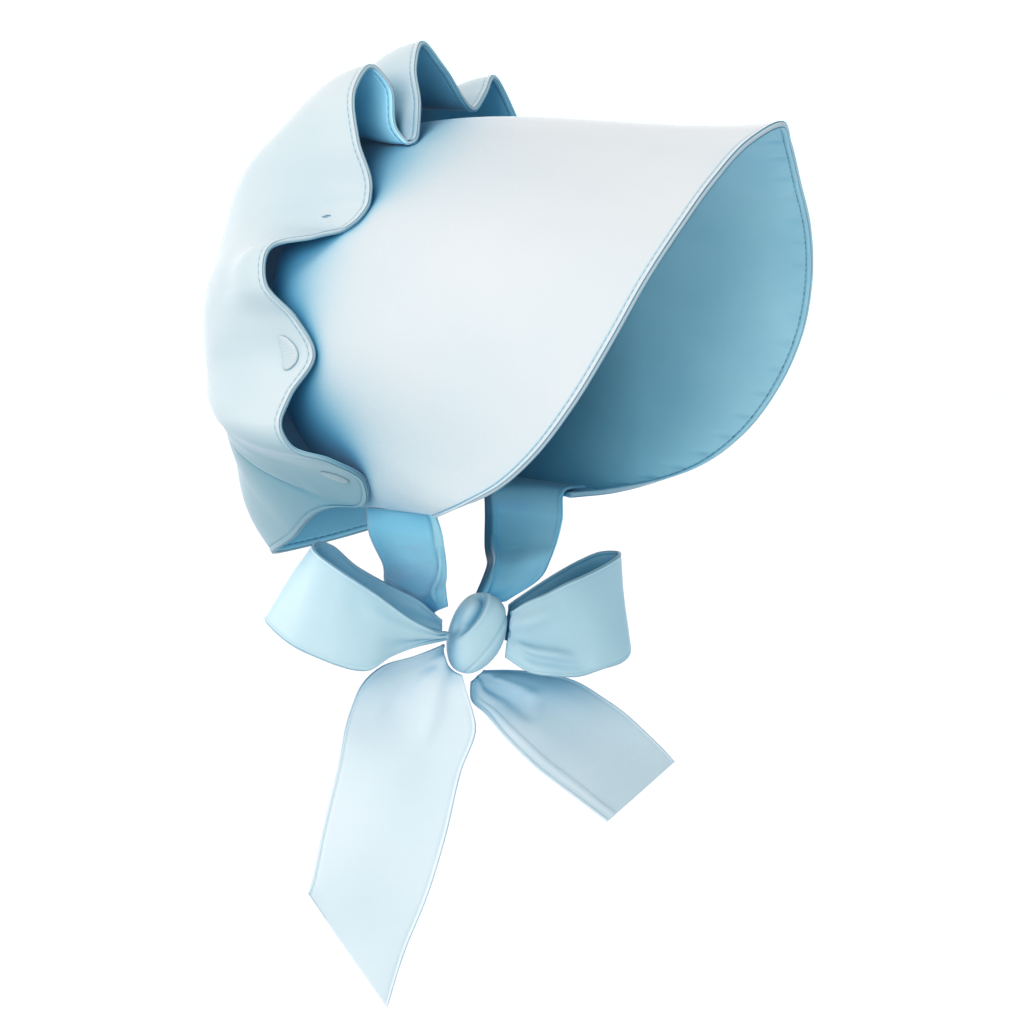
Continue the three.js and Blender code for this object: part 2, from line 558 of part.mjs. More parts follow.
function knotPoint(p, q, o) {
  const c = Math.cos(KNOT.tilt);
  const s = Math.sin(KNOT.tilt);
  return bowPoint(KNOT.a + p * c + q * s, KNOT.u - p * s + q * c, KNOT.o + o);
}

// how far out a point lies, as a share of the knot's size with a margin around it, and the point brought to that surface
function knotShare(local, margin) {
  const sizes = [KNOT.half + margin, KNOT.tall + margin, KNOT.deep + margin];
  return local.reduce((sum, value, c) => sum + Math.abs(value / sizes[c]) ** KNOT.square, 0) ** (1 / KNOT.square);
}

function onKnot(point3, margin) {
  const local = knotLocal(point3);
  const share = knotShare(local, margin);
  return knotPoint(...local.map((value) => value / share));
}

// moves a point of a ribbon out of the knot
function clearOfKnot(point3) {
  const margin = RIBBON_THICK / 2 + GAP + KNOT_ROOM;
  return knotShare(knotLocal(point3), margin) >= 1 ? point3 : onKnot(point3, margin);
}

function seatOnKnot(point3) {
  return onKnot(point3, RIBBON_THICK / 2 + KNOT_SEAT);
}

function knotGeometry() {
  const grid = [];
  const positions = [];
  const index = [];
  for (let i = 0; i < KNOT_STEPS_AROUND; i += 1) {
    const phi = 2 * Math.PI * i / KNOT_STEPS_AROUND;
    const line = [];
    for (let j = 1; j < KNOT_STEPS_UP; j += 1) {
      const theta = Math.PI * j / KNOT_STEPS_UP;
      const dir = [Math.sin(theta) * Math.cos(phi), -Math.cos(theta), Math.sin(theta) * Math.sin(phi)];
      const m = dir.reduce((sum, value) => sum + Math.abs(value) ** KNOT.square, 0) ** (1 / KNOT.square);
      const p = knotPoint(dir[0] / m * KNOT.half, dir[1] / m * KNOT.tall, dir[2] / m * KNOT.deep);
      line.push(positions.length / 3);
      positions.push(p.x, p.y, p.z);
    }
    grid.push(line);
  }
  const low = positions.length / 3;
  positions.push(...knotPoint(0, -KNOT.tall, 0).toArray(), ...knotPoint(0, KNOT.tall, 0).toArray());
  for (let i = 0; i < KNOT_STEPS_AROUND; i += 1) {
    const a = grid[i];
    const b = grid[(i + 1) % KNOT_STEPS_AROUND];
    const top = a.length - 1;
    index.push(low, a[0], b[0], low + 1, b[top], a[top]);
    for (let j = 0; j < top; j += 1) index.push(a[j], a[j + 1], b[j + 1], a[j], b[j + 1], b[j]);
  }
  const geometry = new THREE.BufferGeometry();
  geometry.setAttribute('position', new THREE.Float32BufferAttribute(positions, 3));
  geometry.setIndex(index);
  geometry.computeVertexNormals();
  return geometry;
}

// ribbon along rows of cross lines, each a list of points across the ribbon; seated says which of its ends meet the knot
function ribbonGeometry(rows, steps, seated) {
  const flat = rows.map((row) => row.flatMap((p) => p.toArray()));
  const xs = lengths(flat);
  const line = spline(xs, flat);
  const grid = [];
  for (let i = 0; i <= steps; i += 1) {
    const values = line(xs[xs.length - 1] * i / steps);
    const cross = [];
    const place = (i === 0 && seated.start) || (i === steps && seated.end) ? seatOnKnot : clearOfKnot;
    for (let c = 0; c < values.length; c += 3) cross.push(place(new THREE.Vector3(values[c], values[c + 1], values[c + 2])));
    grid.push(cross);
  }
  return sheetSolid(grid, RIBBON_THICK);
}

function bowRibbon(table, steps, seated) {
  const rows = table.map((r) => {
    const cross = [];
    for (let k = 0; k <= RIBBON_STEPS_ACROSS; k += 1) {
      const t = k / RIBBON_STEPS_ACROSS;
      cross.push(bowPoint(r.a0 + (r.a1 - r.a0) * t, r.u0 + (r.u1 - r.u0) * t, r.o0 + (r.o1 - r.o0) * t));
    }
    return cross;
  });
  return ribbonGeometry(rows, steps, seated);
}

// strap: two rows lie against the inside of the brim's lower edge, the others hang free down to the knot
function strapGeometry(table, sideSign, creaseAt) {
  const inset = BRIM_THICK / 2 + RIBBON_THICK / 2 + GAP + STRAP_ROOM;
  const places = [0, creaseAt / 2, creaseAt, (1 + creaseAt) / 2, 1];
  const insideRow = (side) => places.map((t) => {
    const depth = STRAP_BACK + (STRAP_FRONT - STRAP_BACK) * t;
    return brimMiddle(side, depth).addScaledVector(brimOutward(side, depth), -inset);
  });
  const rows = [insideRow(sideSign * (1 - STRAP_UP)), insideRow(sideSign)];
  table.forEach((r) => {
    const back = point(r.x0, r.f0, r.z0);
    const crease = point(r.x1, r.f1, r.z1);
    const front = point(r.x2, r.f2, r.z2);
    rows.push([back, back.clone().lerp(crease, 0.5), crease, crease.clone().lerp(front, 0.5), front]);
  });
  return ribbonGeometry(rows, STRAP_STEPS, { start: false, end: true });
}

const bonnet = new THREE.Group();
bonnet.name = 'bonnet';

function add(name, geometry, cloth) {
  const mesh = new THREE.Mesh(geometry, new THREE.MeshStandardMaterial(cloth));
  mesh.name = name;
  bonnet.add(mesh);
  return mesh;
}

add('brim', brimGeometry(), BRIM_CLOTH);
add('crown', sheetSolid(crownSpokes, CROWN_THICK, { around: true, pole: point(POLE.x, POLE.f, POLE.z) }), CROWN_CLOTH);
PADS.forEach((pad) => add(pad.name, padGeometry(pad), CROWN_CLOTH));
add('knot', knotGeometry(), RIBBON_CLOTH);
add('strap_right', strapGeometry(STRAP_RIGHT, -1, CREASE_AT_RIGHT), RIBBON_CLOTH);
add('strap_left', strapGeometry(STRAP_LEFT, 1, CREASE_AT_LEFT), RIBBON_CLOTH);
add('loop_right', bowRibbon(LOOP_RIGHT, LOOP_STEPS, { start: true, end: true }), RIBBON_CLOTH);
add('loop_left', bowRibbon(LOOP_LEFT, LOOP_STEPS, { start: true, end: true }), RIBBON_CLOTH);
add('tail_right', bowRibbon(TAIL_RIGHT, TAIL_STEPS, { start: false, end: false }), RIBBON_CLOTH);
add('tail_left', bowRibbon(TAIL_LEFT, TAIL_STEPS, { start: true, end: false }), RIBBON_CLOTH);

export default bonnet;
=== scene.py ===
import math

import bmesh
import bpy
import numpy as np
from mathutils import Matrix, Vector


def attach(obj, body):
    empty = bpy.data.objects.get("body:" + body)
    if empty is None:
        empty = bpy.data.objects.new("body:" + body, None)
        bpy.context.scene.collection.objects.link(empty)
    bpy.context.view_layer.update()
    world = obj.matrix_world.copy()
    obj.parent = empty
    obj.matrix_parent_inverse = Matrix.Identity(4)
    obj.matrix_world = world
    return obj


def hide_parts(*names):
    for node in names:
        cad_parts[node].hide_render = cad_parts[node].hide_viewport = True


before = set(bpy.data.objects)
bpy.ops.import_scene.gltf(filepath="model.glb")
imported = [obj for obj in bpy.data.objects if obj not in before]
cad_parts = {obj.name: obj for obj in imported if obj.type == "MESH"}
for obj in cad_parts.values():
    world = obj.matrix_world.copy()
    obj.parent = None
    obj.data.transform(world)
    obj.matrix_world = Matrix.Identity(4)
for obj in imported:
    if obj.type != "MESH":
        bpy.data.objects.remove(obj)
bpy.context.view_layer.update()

# A bonnet with a stiffened poke brim, a loose crown with a fluted front edge, and ribbon ties in a bow.
# The tables are in millimetres, as in the part's source: +Z up, the brim opens to -Y, +X is the wearer's left,
# and f is the distance forward (minus y). Meshes are made in metres.
MM = 0.001
BODY = "root"


def table(columns, *rows, **named_rows):
    """Rows of numbers under named columns; a row can have a name."""
    return [dict(zip(columns.split(), row)) for row in (*rows, *named_rows.values())]



# camera, as the photograph was taken
IMAGE_PX = 1024
SENSOR_MM = 36.0
FOCAL_PX = 3000.0
CAMERA_FAR_MM = 1500.0
CAMERA_AZIMUTH = -60.0
CAMERA_HEIGHT = 4.6
TARGET_MM = (0.0, -18.5, -198.0)
FLOOR_MM = -900.0
HORIZON_WHITE = (1.0, 1.4, 1.6)
DOME_BLUE = (0.06, 0.20, 0.27)
FLOOR_PALE = (0.66, 0.77, 0.83, 1)
FLOOR_HALF = 14.0
FLOOR_ROUGH = 0.9
SKY_FROM = 0.2
SKY_TO = 0.5
WARM = (1.0, 0.73, 0.65)
# even lights, each from a direction, with its strength and its spread in degrees
LIGHTS = [
    dict(name="key", towards=(-0.50, 0.10, 0.86), strength=3.0, spread=25),
    dict(name="side", towards=(-0.93, -0.05, 0.32), strength=2.8, spread=40),
    dict(name="back", towards=(0.7, 0.6, 0.5), strength=2.2, spread=60),
]

# thickness of the cloths, the gap between pieces, and the room added to it: crown off the brim, straps off the brim
BRIM_THICK = 2.2
CROWN_THICK = 1.5
RIBBON_THICK = 1.2
GAP = 0.4
CROWN_ROOM = 0.5
STRAP_ROOM = 1.2
# how far the middle of a ribbon's cloth stays from the knot
KNOT_ROOM = 1.1

# the turned hem along an edge: its width, how much thicker the cloth is there, and the dent at its stitches
HEM_WIDE = 3.6
HEM_THICKER = 1.1
HEM_DENT = 0.55
HEM_FALL = 0.9
HEM_PUFF = 0.25
DENT_WIDE = 0.45
STITCH = dict(pitch=3.6, long=2.3, thick=0.42)
# cross rings of a stitch: place along it and size, both as shares; its sides, flatness, height and sunken ends
STITCH_RINGS = [(-0.5, 0.15), (-0.4, 0.8), (-0.15, 1.0), (0.15, 1.0), (0.4, 0.8), (0.5, 0.15)]
STITCH_SIDES = 6
STITCH_FLAT = 0.75
STITCH_UP = 0.1
STITCH_SINK = 0.25
STITCH_AHEAD = 0.4
# distances from an edge at which the cloth has rows of points, close together over the hem
HEM_ROWS = [0, 0.5, 1.1, 1.8, 2.4, 2.9, 3.3, 3.6, 3.9, 4.3, 4.9, 5.8, 7.2, 9.2, 12, 15.5]
RIBBON_HEM = dict(wide=2.2, thicker=0.35, dent=0.3)
RIBBON_HEM_ROWS = [0, 0.5, 1.1, 1.6, 2.0, 2.3, 2.7, 3.4]

# the brim's front edge on one side, from the middle of the top to the lower corner
FRONT_EDGE = table(
    "x f z",
    (0, 166, -9), (23, 160, -18), (47, 154, -36), (70, 149, -57), (90, 141, -82), (103, 130, -110),
    (109, 114, -138), (110, 94, -162), (108, 76, -176), (103, 54, -186), (90, 32, -192), (67, 15, -194),
)
# the brim's back edge on one side, under the crown
BACK_EDGE = table(
    "x f z",
    (0, -57, -9), (28, -57, -14), (54, -58, -29), (77, -59, -51), (91, -60, -76), (97, -60, -102),
    (96, -58, -127), (88, -53, -152), (75, -43, -175), (61, -34, -193),
)
# how the brim's side lines leave the back edge and reach the front edge: mm outward and mm up per mm forward
BRIM_SLOPES = table(
    "side out_back up_back out_front up_front",
    (0.00, 0.00, 0.23, 0.00, 0.08),
    (0.30, 0.06, 0.16, 0.12, -0.10),
    (0.60, 0.10, 0.02, 0.16, -0.14),
    (0.85, 0.04, -0.02, 0.35, -0.12),
    (1.00, 0.00, -0.02, 0.20, -0.02),
)
TOP_BLEND = 0.15
BRIM_ROWS_AROUND = 420
BRIM_ROWS_DEEP = 42
BRIM_FINE = 161
# small tucks in the lining, square to the front edge
TUCK_DEEP = 1.0
TUCK_PITCH = 15.5
TUCK_SHARP = 6
TUCK_FROM_EDGE = 8.0
TUCK_LONG = 4.2

# the crown's free edge on one side: the nape hem, then the ruffle up to the third valley
# hold: share of the edge's own line that the cloth behind it keeps; back and up: how the cloth leaves the edge;
# reach: how far behind the edge the fold has faded out
SIDE_EDGE = table(
    "x f z hold back up reach",
    nape_middle=(0, -122, -225, 1.0, 1.00, 100, 72),
    nape_side=(42, -84, -212, 1.0, 1.02, 110, 72),
    nape_corner=(66, -47, -194, 1.0, 1.14, 80, 72),
    ruffle_end=(69, -24, -191, 0.6, 1.20, 45, 72),
    valley_1=(83, -15, -178, 0.2, 1.04, 20, 72),
    rise_1=(100, -24, -168, 0, 0.93, 0, 100),
    shoulder_1=(111, -39, -161, 0, 0.87, 0, 115),
    crest_1=(113, -43, -152, 0, 0.85, 0, 115),
    fall_1=(108, -41, -138, 0, 0.86, 0, 100),
    valley_2=(103, -30, -117, 0, 0.88, 0, 72),
    rise_2=(106, -38, -101, 0, 0.88, 0, 60),
    crest_2=(112, -52, -83, 0, 0.88, 0, 52),
    fall_2=(108, -53, -68, 0, 0.90, 0, 56),
    slope_2=(95, -33, -61, 0, 0.95, 0, 64),
    valley_3=(82, -16, -54, 0, 1.02, 0, 72),
)
# the ruffle over the top, from the wearer's right to the left
TOP_EDGE = table(
    "x f z",
    rise_3=(-79, -13, -39), slope_3=(-78, -21, -15), shoulder_3=(-71, -27, 10), crest_3=(-57, -26, 21),
    fall_3=(-49, -21, 12), foot_3=(-47, -18, -10), valley_4=(-45, -11, -17), rise_4=(-38, -11, 1),
    shoulder_4=(-29, -19, 22), crest_4=(-14, -24, 35), fall_4=(4, -22, 23), valley_5=(28, -19, 4),
    rise_5=(41, -20, 13), crest_5=(54, -23, 22), fall_5=(70, -21, 6), slope_5=(79, -14, -30),
)
TOP_TRAITS = dict(hold=0, back=1.05, up=0, reach=72)
POLE = dict(x=0, f=-138, z=-112)
CROWN_ROUND = 1.85
NAPE_BULGE = 90
FOLD_WIDTH = 36
CROWN_FINE = 240
CROWN_CLOSER = 1.25
CROWN_EVEN = 0.65
# how the crown is lifted off the brim: samples of the brim, blending between them, fade at its edges and reach
REST_SAMPLES = dict(around=161, deep=25, to_depth=0.45)
REST = dict(spread=6.0, fade=14.0, soft=0.6, reach=30, at_once=2000)
CROWN_ROWS_AROUND = 460
CROWN_ROWS_DEEP = 72
EDGE_SAMPLES = 1600

# oval pads that hold the lower valleys of the ruffle to the brim, and small thread tacks at the upper ones:
# the edge row, how far behind the edge the middle lies, half length, half width, turn from straight back
PADS = [
    dict(name="pad_1_right", edge=4, behind=17, long=7.5, wide=3.2, turn=25, tone="shaded"),
    dict(name="pad_2_right", edge=9, behind=14, long=9.5, wide=4.6, turn=80, tone="light"),
    dict(name="pad_2_left", edge=35, behind=14, long=9.5, wide=4.6, turn=-80, tone="light"),
    dict(name="pad_1_left", edge=40, behind=17, long=7.5, wide=3.2, turn=-25, tone="shaded"),
]
PAD_RISE = 1.2
PAD_RIM = 0.24
PAD_ROUND = 2.4
PAD_UNDER = 0.15
PAD_RIDGE = 0.16
PAD_THREAD_COUNT = 11
PAD_RINGS = 18
PAD_AROUND = 72
TACKS = [
    dict(name="tack_1_right", edge=14, behind=20), dict(name="tack_2_right", edge=21, behind=5),
    dict(name="tack_2_left", edge=26, behind=5), dict(name="tack_1_left", edge=30, behind=20),
]
# a tack's thread: along the edge and back from it
TACK_ZIGZAG = [(-0.5, -2.6), (0.0, 2.6), (0.5, -2.4), (1.0, 2.6)]
TACK = dict(pitch=5.4, long=5.0, thick=0.7)
TACK_UP = 0.1

# the bow hangs under the chin: a is across, u is up and o is out towards the viewer of the bow
BOW_TURN = -35.0
KNOT_AT = dict(x=0, f=3, z=-263)
KNOT = dict(a=-5, u=3, o=0, half=14.5, tall=21.5, deep=12, tilt=20.0, square=2.4)

# how the wrapped ribbon looks: half sizes, room left for the lip, squareness, narrowing and lean towards the bottom
KNOT_LOOK = np.array([14.5, 21.3, 12.0])
KNOT_INSET = 0.4
KNOT_SQUARE = 2.4
KNOT_TAPER = 0.25
KNOT_LEAN = 1.5
KNOT_LOW_BEND = 1.5
KNOT_FRONT = dict(start=-0.1, long=0.4)
# the wrap's lip as shares of the knot: its line, where it ends, the hollow beside it, and the raised edge;
# the depth of the hollow and the height of the edge in mm
KNOT_LIP = dict(top=-0.20, lean=0.50, from_height=0.95, bend=1.4, end=-0.30)
KNOT_HOLLOW = dict(deep=4.2, step=0.08, wide=0.33, end_long=0.4)
KNOT_EDGE = dict(high=0.6, aside=0.10, wide=0.09, end_long=0.3)
KNOT_FOLD = dict(deep=0.5, at=0.42, lean=0.45, wide=0.08)
KNOT_AROUND = 128
KNOT_UP = 72

LOOP_RIGHT = table(
    "a0 u0 o0 a1 u1 o1",
    front_knot=(-24, 6, 8, -24, 2, 8),
    front_1=(-34, 8, 12, -41, 0, 10),
    front_2=(-47, 14, 15, -57, -4, 14),
    front_3=(-67, 28, 18, -72, -10, 18),
    front_4=(-86, 41, 16, -96, -3, 17),
    front_5=(-95, 49, 10, -112, 6, 12),
    turn=(-94, 52, 2, -119, 15, 3),
    back_5=(-89, 53, -5, -114, 16, -5),
    back_4=(-79, 50, -9, -96, 9, -10),
    back_3=(-65, 39, -11, -71, 2, -12),
    back_2=(-50, 30, -10, -52, 1, -12),
    back_1=(-32, 20, -8, -35, 1, -9),
    back_knot=(-21, 10, -6, -21, 2, -7),
)
LOOP_LEFT = table(
    "a0 u0 o0 a1 u1 o1",
    front_knot=(11, 14, 6, 8, -9, 6),
    front_1=(18, 19, 10, 20, -17, 10),
    front_2=(27, 23, 13, 31, -19, 13),
    front_3=(37, 28, 15, 45, -20, 14),
    front_4=(49, 32, 14, 60, -17, 13),
    front_5=(62, 36, 9, 73, -15, 8),
    turn=(74, 40, 1, 81, -11, 1),
    back_5=(77, 41, -6, 84, -8, -6),
    back_4=(71, 41, -10, 74, -6, -10),
    back_3=(59, 37, -12, 59, -9, -12),
    back_2=(45, 31, -11, 43, -9, -11),
    back_1=(29, 23, -9, 28, -7, -9),
    back_knot=(16, 16, -7, 14, -2, -7),
)
TAIL_RIGHT = table(
    "a0 u0 o0 a1 u1 o1",
    knot=(-20, -1, -3, -15, -9, -3),
    row_1=(-38, -7, -4, -13, -18, 0),
    row_2=(-55, -11, -4, -11, -26, 2),
    row_3=(-66, -19, -3, -8, -35, 2),
    row_4=(-73, -32, -2, -6, -44, 2),
    row_5=(-81, -61, 0, -14, -66, 2),
    row_6=(-90, -95, 0, -23, -101, 0),
    row_7=(-95, -115, 0, -33, -133, -2),
    row_8=(-96, -118, 0, -43, -157, -4),
    end=(-97, -121, 0, -52, -185, -6),
)
TAIL_LEFT = table(
    "a0 u0 o0 a1 u1 o1",
    knot=(4, -17, -10, -4, -22, -8),
    row_1=(20, -18, -12, -5, -31, -6),
    row_2=(39, -21, -13, 2, -39, -4),
    row_3=(57, -26, -14, 8, -50, 6),
    row_4=(74, -37, -13, 19, -62, 12),
    row_5=(88, -47, -11, 31, -72, 16),
    row_6=(102, -60, -9, 44, -83, 19),
    end=(112, -71, -6, 58, -94, 22),
)
# the straps below the rim: back edge, crease and front edge in x, f, z; above these rows they lie inside the brim
STRAP_RIGHT = table(
    "x0 f0 z0 x1 f1 z1 x2 f2 z2",
    row_1=(-55, -31, -207, -61, 6, -206, -54, 10, -203),
    row_2=(-46, -30, -221, -51, 2, -216, -44, 6, -213),
    row_3=(-28, -38, -237, -31, -11, -230, -26, -4, -228),
    row_4=(-19, -32, -245, -17, -23, -241, -15, -11, -236),
    knot=(-10, -24, -254, -9, -21, -250, -8, -14, -246),
)
STRAP_LEFT = table(
    "x0 f0 z0 x1 f1 z1 x2 f2 z2",
    row_1=(57, -31, -207, 61, -22, -205, 60, 14, -206),
    row_2=(48, -26, -220, 52, -17, -219, 55, 14, -216),
    row_3=(28, -13, -230, 32, -6, -229, 48, 14, -226),
    row_4=(10, -9, -242, 17, -4, -241, 38, 11, -237),
    knot=(4, -11, -250, 10, -7, -248, 22, 2, -246),
)
STRAP_UP = 0.035
STRAP_BACK = 0.04
STRAP_FRONT = 0.96
CREASE_AT_RIGHT = 0.78
CREASE_AT_LEFT = 0.22

# points of a ribbon's cross row, and rows of its fine grid
ROW_POINTS = 5
RIBBON_ALONG = 150
RIBBON_ACROSS = 36
# pleats at the knot: how far they reach, and how soon they start
PLEAT_FADE = 20.0
PLEAT_START = 3.0
# creases: start and end along the ribbon (s) and across it (t), width across it and height, all but the last as shares
CREASE_START = 0.05
CREASE_END = 0.08
RIBBON_WAVES = table(
    "long wide start high",
    (1.3, 0.35, 0.4, 0.45), (2.7, -0.8, 1.9, 0.3), (0.7, 1.1, 3.0, 0.25),
)
STRAP_RIGHT_CREASES = table(
    "s0 s1 t0 t1 wide deep",
    (0.35, 0.97, 0.80, 0.70, 0.035, 1.3), (0.30, 0.60, 0.30, 0.45, 0.08, -0.8),
)
STRAP_LEFT_CREASES = table(
    "s0 s1 t0 t1 wide deep",
    (0.35, 0.97, 0.24, 0.40, 0.05, 1.2), (0.45, 0.85, 0.55, 0.60, 0.10, -0.9),
)
LOOP_RIGHT_CREASES = table(
    "s0 s1 t0 t1 wide deep",
    (0.02, 0.22, 0.55, 0.62, 0.10, -1.6), (0.02, 0.30, 0.30, 0.25, 0.12, 1.2),
)
LOOP_LEFT_CREASES = table(
    "s0 s1 t0 t1 wide deep",
    (0.02, 0.24, 0.62, 0.80, 0.05, -2.4), (0.04, 0.30, 0.78, 0.92, 0.06, 1.4),
    (0.02, 0.20, 0.30, 0.22, 0.10, -1.5),
)
TAIL_RIGHT_CREASES = table(
    "s0 s1 t0 t1 wide deep",
    (0.03, 0.30, 0.45, 0.30, 0.10, -1.6), (0.03, 0.35, 0.70, 0.60, 0.08, 1.0),
)
TAIL_LEFT_CREASES = table(
    "s0 s1 t0 t1 wide deep",
    (0.02, 1.08, 0.90, 0.90, 0.018, -0.9), (0.03, 0.34, 0.35, 0.45, 0.09, -1.8),
    (0.03, 0.40, 0.62, 0.66, 0.08, 1.2),
)


# curves through tables

def hermite(t):
    t2, t3 = t * t, t * t * t
    return 2 * t3 - 3 * t2 + 1, t3 - 2 * t2 + t, -2 * t3 + 3 * t2, t3 - t2


def spline(xs, rows):
    """Smooth curve through rows of numbers at the places xs; takes one place or an array of them."""
    xs, rows = np.asarray(xs, float), np.asarray(rows, float)
    h = np.diff(xs)
    d = np.diff(rows, axis=0) / h[:, None]
    slopes = np.empty_like(rows)
    slopes[0], slopes[-1] = d[0], d[-1]
    slopes[1:-1] = (d[:-1] * h[1:, None] + d[1:] * h[:-1, None]) / (h[:-1] + h[1:])[:, None]

    def at(x):
        x = np.asarray(x, float)
        k = np.clip(np.searchsorted(xs, x, side="right") - 1, 0, len(xs) - 2)
        step = h[k][..., None]
        w0, w1, w2, w3 = hermite(((x - xs[k]) / h[k])[..., None])
        return w0 * rows[k] + w1 * step * slopes[k] + w2 * rows[k + 1] + w3 * step * slopes[k + 1]

    return at


def lengths(rows):
    rows = np.asarray(rows, float)
    return np.concatenate([[0.0], np.cumsum(np.linalg.norm(np.diff(rows, axis=0), axis=1))])


def smooth_step(t):
    t = np.clip(t, 0, 1)
    return t * t * (3 - 2 * t)


def unit(v):
    return v / np.maximum(np.linalg.norm(v, axis=-1, keepdims=True), 1e-12)


def column(table, *keys):
    return np.array([[row[k] for k in keys] for row in table], float)


# the brim

def edge_curve(table):
    left = column(table, "x", "f", "z")
    rows = np.concatenate([left[1:][::-1] * [-1, 1, 1], left])
    xs = lengths(rows)
    return spline(2 * xs / xs[-1] - 1, rows)


front_edge = edge_curve(FRONT_EDGE)
back_edge = edge_curve(BACK_EDGE)
brim_slopes = spline(column(BRIM_SLOPES, "side")[:, 0],
                     column(BRIM_SLOPES, "out_back", "up_back", "out_front", "up_front"))


def brim_middle(side, depth):
    """Middle of the brim's cloth: side from -1, the lower right corner, over the top to 1; depth from back to front."""
    side, depth = np.broadcast_arrays(np.asarray(side, float), np.asarray(depth, float))
    back, front = back_edge(side), front_edge(side)
    slopes = brim_slopes(np.abs(side))
    run = front[..., 1] - back[..., 1]
    outward = run * np.clip(side / TOP_BLEND, -1, 1)
    start = np.stack([slopes[..., 0] * outward, run, slopes[..., 1] * run], -1)
    end = np.stack([slopes[..., 2] * outward, run, slopes[..., 3] * run], -1)
    w0, w1, w2, w3 = hermite(depth[..., None])
    p = w0 * back + w1 * start + w2 * front + w3 * end
    return p * [1, -1, 1]


def brim_outward(side, depth):
    step = 0.002
    along = brim_middle(np.clip(side + step, -1, 1), depth) - brim_middle(np.clip(side - step, -1, 1), depth)
    deep = brim_middle(side, depth + step) - brim_middle(side, depth - step)
    return unit(np.cross(deep, along))


# the crown

def edge_rows():
    right = [dict(row, x=-row["x"]) for row in SIDE_EDGE]
    left = SIDE_EDGE[1:][::-1]
    return right + [dict(row, **TOP_TRAITS) for row in TOP_EDGE] + left


def crown_edge(steps):
    """The edge at even steps, the same edge with its folds smoothed away, and how the cloth leaves it."""
    rows = edge_rows()
    before = 3
    ring = rows[-before:] + rows + rows[:before + 1]
    places = column(ring, "x", "f", "z")
    xs = lengths(places)
    start, end = xs[before], xs[before + len(rows)]
    dense_x = np.linspace(start, end, EDGE_SAMPLES + 1)
    dense = spline(xs, places)(dense_x)
    run = lengths(dense)
    want = run[-1] * np.arange(steps) / steps
    x = np.interp(want, run, dense_x)
    p = np.stack([np.interp(want, run, dense[:, c]) for c in range(3)], -1)
    traits = {k: np.interp(x, xs, column(ring, k)[:, 0]) for k in ("hold", "back", "up", "reach")}
    step = run[-1] / steps
    offset = np.arange(-(steps // 2), steps // 2)
    weights = np.exp(-0.5 * (offset * step / FOLD_WIDTH) ** 2)
    weights /= weights.sum()
    mean = sum(w * np.roll(p, -m, axis=0) for w, m in zip(weights, offset))
    smooth = mean + (p - mean) * traits["hold"][:, None]
    row_places = steps * np.interp(xs[before:before + len(rows)], dense_x, run) / run[-1]
    return p, smooth, traits, row_places, step


def rest_on_brim(points, clear):
    """Lifts points of the crown off the brim's cloth, smoothly, where they would lie in it."""
    around, deep = np.meshgrid(np.linspace(-1, 1, REST_SAMPLES["around"]),
                               np.linspace(0, REST_SAMPLES["to_depth"], REST_SAMPLES["deep"]), indexing="ij")
    sample = brim_middle(around, deep).reshape(-1, 3)
    normal = brim_outward(around, deep).reshape(-1, 3)
    flat = points.reshape(-1, 3).copy()
    for first in range(0, len(flat), REST["at_once"]):
        part = flat[first:first + REST["at_once"]]
        d2 = ((part[:, None, :] - sample[None]) ** 2).sum(-1)
        nearest = d2.min(1)
        w = np.exp(-(d2 - nearest[:, None]) / (2 * REST["spread"] ** 2))
        w /= w.sum(1, keepdims=True)
        n = unit(w @ normal)
        foot = w @ sample
        offset = part - foot
        height = (offset * n).sum(-1)
        aside = np.linalg.norm(offset - height[:, None] * n, axis=-1)
        lack = clear - height
        push = 0.5 * (lack + np.sqrt(lack ** 2 + REST["soft"] ** 2)) * (np.abs(height) < REST["reach"])
        part += n * (push * (1 - smooth_step(aside / REST["fade"] - 0.5)))[:, None]
    return flat.reshape(points.shape)


def crown_grid(steps, rows_deep):
    p, smooth, traits, row_places, step = crown_edge(steps)
    pole = np.array([POLE["x"], POLE["f"], POLE["z"]], float)
    leave = np.zeros_like(p)
    leave[:, 1] = -np.hypot(CROWN_ROUND * (smooth[:, 1] - pole[1]) * traits["back"], NAPE_BULGE)
    leave[:, 2] = traits["up"]
    arrive = np.stack([-CROWN_ROUND * smooth[:, 0], 0 * smooth[:, 0], CROWN_ROUND * (pole[2] - smooth[:, 2])], -1)
    t = np.linspace(0, 1, CROWN_FINE + 1) ** CROWN_CLOSER
    w0, w1, w2, w3 = (w[None, :, None] for w in hermite(t))
    q = w0 * smooth[:, None] + w1 * leave[:, None] + w2 * pole + w3 * arrive[:, None]
    run = np.concatenate([np.zeros((steps, 1)), np.cumsum(np.linalg.norm(np.diff(q, axis=1), axis=2), axis=1)], 1)
    gone = np.clip(run / traits["reach"][:, None], 0, 1)
    fade = (1 - gone) ** 2 * (1 + 2 * gone)
    q = q + (p - smooth)[:, None] * fade[..., None]
    q = q * [1, -1, 1]
    grid = np.empty((steps, rows_deep, 3))
    places = np.empty((steps, rows_deep))
    near = np.array(HEM_ROWS, float)
    rest = rows_deep - len(near)
    for i in range(steps):
        length = lengths(q[i])
        last = length[-1] * (1 - 0.5 / rows_deep)
        share = np.arange(1, rest + 1) / rest
        want = np.concatenate([near, near[-1] + (last - near[-1]) * ((1 - CROWN_EVEN) * share ** 2 + CROWN_EVEN * share)])
        places[i] = want
        for c in range(3):
            grid[i, :, c] = np.interp(want, length, q[i, :, c])
    clear = BRIM_THICK / 2 + CROWN_THICK / 2 + GAP + CROWN_ROOM
    return rest_on_brim(grid, clear), places, row_places, step


# meshes

